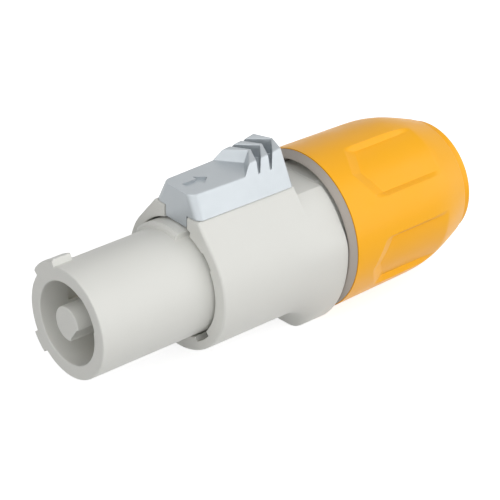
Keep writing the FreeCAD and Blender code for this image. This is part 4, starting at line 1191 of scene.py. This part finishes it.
class CONNECTOR_OT_seal_and_spring(bpy.types.Operator):
    """Build the cable seal and the latch spring"""

    bl_idname = "connector.seal_and_spring"
    bl_label = "Seal and spring"

    def execute(self, context):
        size = context.scene.connector_inner
        add_piece(seal_mesh(size), "cable_seal", "rubber", "chuck", "gland_sleeve",
                  even=False)
        coil = add_piece(spring_mesh(size), "coil", "steel", "shell", "latch_spring",
                         crease=60, even=False)
        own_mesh(coil)
        return {"FINISHED"}


class CONNECTOR_OT_contacts(bpy.types.Operator):
    """Finish the brass contacts, clamp plates and terminal screws"""

    bl_idname = "connector.contacts"
    bl_label = "Contacts"

    def execute(self, context):
        bevel = context.scene.connector_inner.small_bevel
        for pole in POLES:
            finished_copy(f"{pole}_contact", f"{pole}_strip", "brass", "shell", bevel)
            finished_copy(f"{pole}_clamp_plate", f"{pole}_plate", "brass", "shell", bevel)
            finished_copy(f"{pole}_terminal_screw", f"{pole}_screw", "steel", "shell",
                          bevel)
        return {"FINISHED"}


class CONNECTOR_OT_mouldings(bpy.types.Operator):
    """Finish the terminal block, retaining ring, collet and spring pin"""

    bl_idname = "connector.mouldings"
    bl_label = "Inner mouldings"

    def execute(self, context):
        size = context.scene.connector_inner
        bevel = size.block_bevel
        finished_copy("terminal_block", "block", "black_moulding", "shell", bevel)
        finished_copy("retaining_ring", "retainer", "black_moulding", "shell", bevel)
        finished_copy("collet", "chuck_fingers", "natural_moulding", "chuck", bevel)
        finished_copy("spring_pin", "pin", "steel", "slider", size.small_bevel)
        return {"FINISHED"}


def add_lamp(name, place, aim, power, size):
    """A square area lamp that points at the part."""
    data = bpy.data.lights.new(name, "AREA")
    data.energy = power
    data.size = size
    lamp = bpy.data.objects.new(name, data)
    lamp.location = place
    lamp.rotation_euler = (Vector(aim) - Vector(place)).to_track_quat("-Z", "Y").to_euler()
    bpy.context.scene.collection.objects.link(lamp)


def seen_directly(tree):
    """A socket that is 1 for rays from the camera, from mirrors and through glass."""
    path = tree.nodes.new("ShaderNodeLightPath")
    first = tree.nodes.new("ShaderNodeMath")
    second = tree.nodes.new("ShaderNodeMath")
    first.operation = "MAXIMUM"
    second.operation = "MAXIMUM"
    tree.links.new(path.outputs["Is Camera Ray"], first.inputs[0])
    tree.links.new(path.outputs["Is Glossy Ray"], first.inputs[1])
    tree.links.new(first.outputs[0], second.inputs[0])
    tree.links.new(path.outputs["Is Transmission Ray"], second.inputs[1])
    return second.outputs[0]


def make_world(strength):
    """Even surrounding light that shows as white where it is seen directly."""
    world = bpy.data.worlds.new("surroundings")
    world.use_nodes = True
    tree = world.node_tree
    background = tree.nodes["Background"]
    background.inputs["Color"].default_value = (1, 1, 1, 1)
    level = tree.nodes.new("ShaderNodeMapRange")
    level.inputs["To Min"].default_value = strength
    level.inputs["To Max"].default_value = 1.0
    tree.links.new(seen_directly(tree), level.inputs["Value"])
    tree.links.new(level.outputs["Result"], background.inputs["Strength"])
    bpy.context.scene.world = world


def make_floor(settings, height):
    """A wide pale floor under the part. Seen directly it is lifted to white, and its shadows stay."""
    reach = settings.floor_size / 2
    mesh = bpy.data.meshes.new("floor")
    mesh.from_pydata([(-reach, -reach, height), (reach, -reach, height), (reach, reach, height),
                      (-reach, reach, height)], [], [(0, 1, 2, 3)])
    floor = bpy.data.objects.new("floor", mesh)
    bpy.context.scene.collection.objects.link(floor)
    material = new_finish("floor_white", (settings.floor_grey,) * 3, 0.9)
    tree = material.node_tree
    shader = tree.nodes["Principled BSDF"]
    shader.inputs["Emission Color"].default_value = (1, 1, 1, 1)
    glow = tree.nodes.new("ShaderNodeMath")
    glow.operation = "MULTIPLY"
    glow.inputs[1].default_value = settings.floor_glow
    tree.links.new(seen_directly(tree), glow.inputs[0])
    tree.links.new(glow.outputs[0], shader.inputs["Emission Strength"])
    mesh.materials.append(material)


def make_camera(settings):
    """The camera at the photograph's place and view angle."""
    data = bpy.data.cameras.new("camera")
    data.lens = settings.lens
    data.sensor_width = 36
    data.clip_start = 0.01
    data.clip_end = 20
    camera = bpy.data.objects.new("camera", data)
    right = Vector(settings.camera_right).normalized()
    back = right.cross(Vector(settings.camera_up)).normalized()
    up = back.cross(right)
    turn = Matrix((right, up, back)).transposed()
    camera.matrix_world = Matrix.Translation(settings.camera_place) @ turn.to_4x4()
    bpy.context.scene.collection.objects.link(camera)
    bpy.context.scene.camera = camera


class CONNECTOR_OT_stage(bpy.types.Operator):
    """Set up the camera, floor, lamps and surroundings"""

    bl_idname = "connector.stage"
    bl_label = "Stage"

    def execute(self, context):
        settings = context.scene.connector_stage
        centre = (CAD_BOX[0] + CAD_BOX[1]) / 2
        make_camera(settings)
        make_world(settings.sky)
        make_floor(settings, CAD_BOX[0].z - settings.floor_drop)
        for name in ("side", "front", "top"):
            way = Vector(getattr(settings, f"{name}_way")).normalized()
            add_lamp(name, centre + way * settings.lamp_distance, centre,
                     getattr(settings, f"{name}_power"), settings.lamp_size)
        context.scene.view_settings.view_transform = "Standard"
        return {"FINISHED"}


class CONNECTOR_PT_panel(bpy.types.Panel):
    """The connector's sizes and build steps"""

    bl_idname = "CONNECTOR_PT_panel"
    bl_label = "Connector"
    bl_space_type = "VIEW_3D"
    bl_region_type = "UI"
    bl_category = "Connector"

    def draw(self, context):
        for name, group in GROUPS.items():
            box = self.layout.box()
            box.label(text=group.__doc__)
            for prop in group.__annotations__:
                box.prop(getattr(context.scene, name), prop)
        for operator in OPERATORS:
            self.layout.operator(operator.bl_idname)


GROUPS = {
    "connector_nose": NoseSize,
    "connector_housing": HousingSize,
    "connector_latch": LatchSize,
    "connector_nut": NutSize,
    "connector_inner": InnerSize,
    "connector_colours": FinishColours,
    "connector_stage": StageSettings,
}

OPERATORS = (
    CONNECTOR_OT_finishes,
    CONNECTOR_OT_nose,
    CONNECTOR_OT_housing,
    CONNECTOR_OT_latch,
    CONNECTOR_OT_nut,
    CONNECTOR_OT_grip,
    CONNECTOR_OT_seal_and_spring,
    CONNECTOR_OT_contacts,
    CONNECTOR_OT_mouldings,
    CONNECTOR_OT_stage,
)


def register():
    for name, group in GROUPS.items():
        bpy.utils.register_class(group)
        setattr(bpy.types.Scene, name, bpy.props.PointerProperty(type=group))
    for item in (*OPERATORS, CONNECTOR_PT_panel):
        bpy.utils.register_class(item)


def unregister():
    for item in reversed((*OPERATORS, CONNECTOR_PT_panel)):
        bpy.utils.unregister_class(item)
    for name, group in GROUPS.items():
        delattr(bpy.types.Scene, name)
        bpy.utils.unregister_class(group)


def main():
    """Register the add-on and build every piece in order."""
    register()
    for operator in OPERATORS:
        group, action = operator.bl_idname.split(".")
        result = getattr(getattr(bpy.ops, group), action)()
        if result != {"FINISHED"}:
            raise RuntimeError(f"{operator.bl_label} did not finish")


if __name__ == "__main__":
    main()
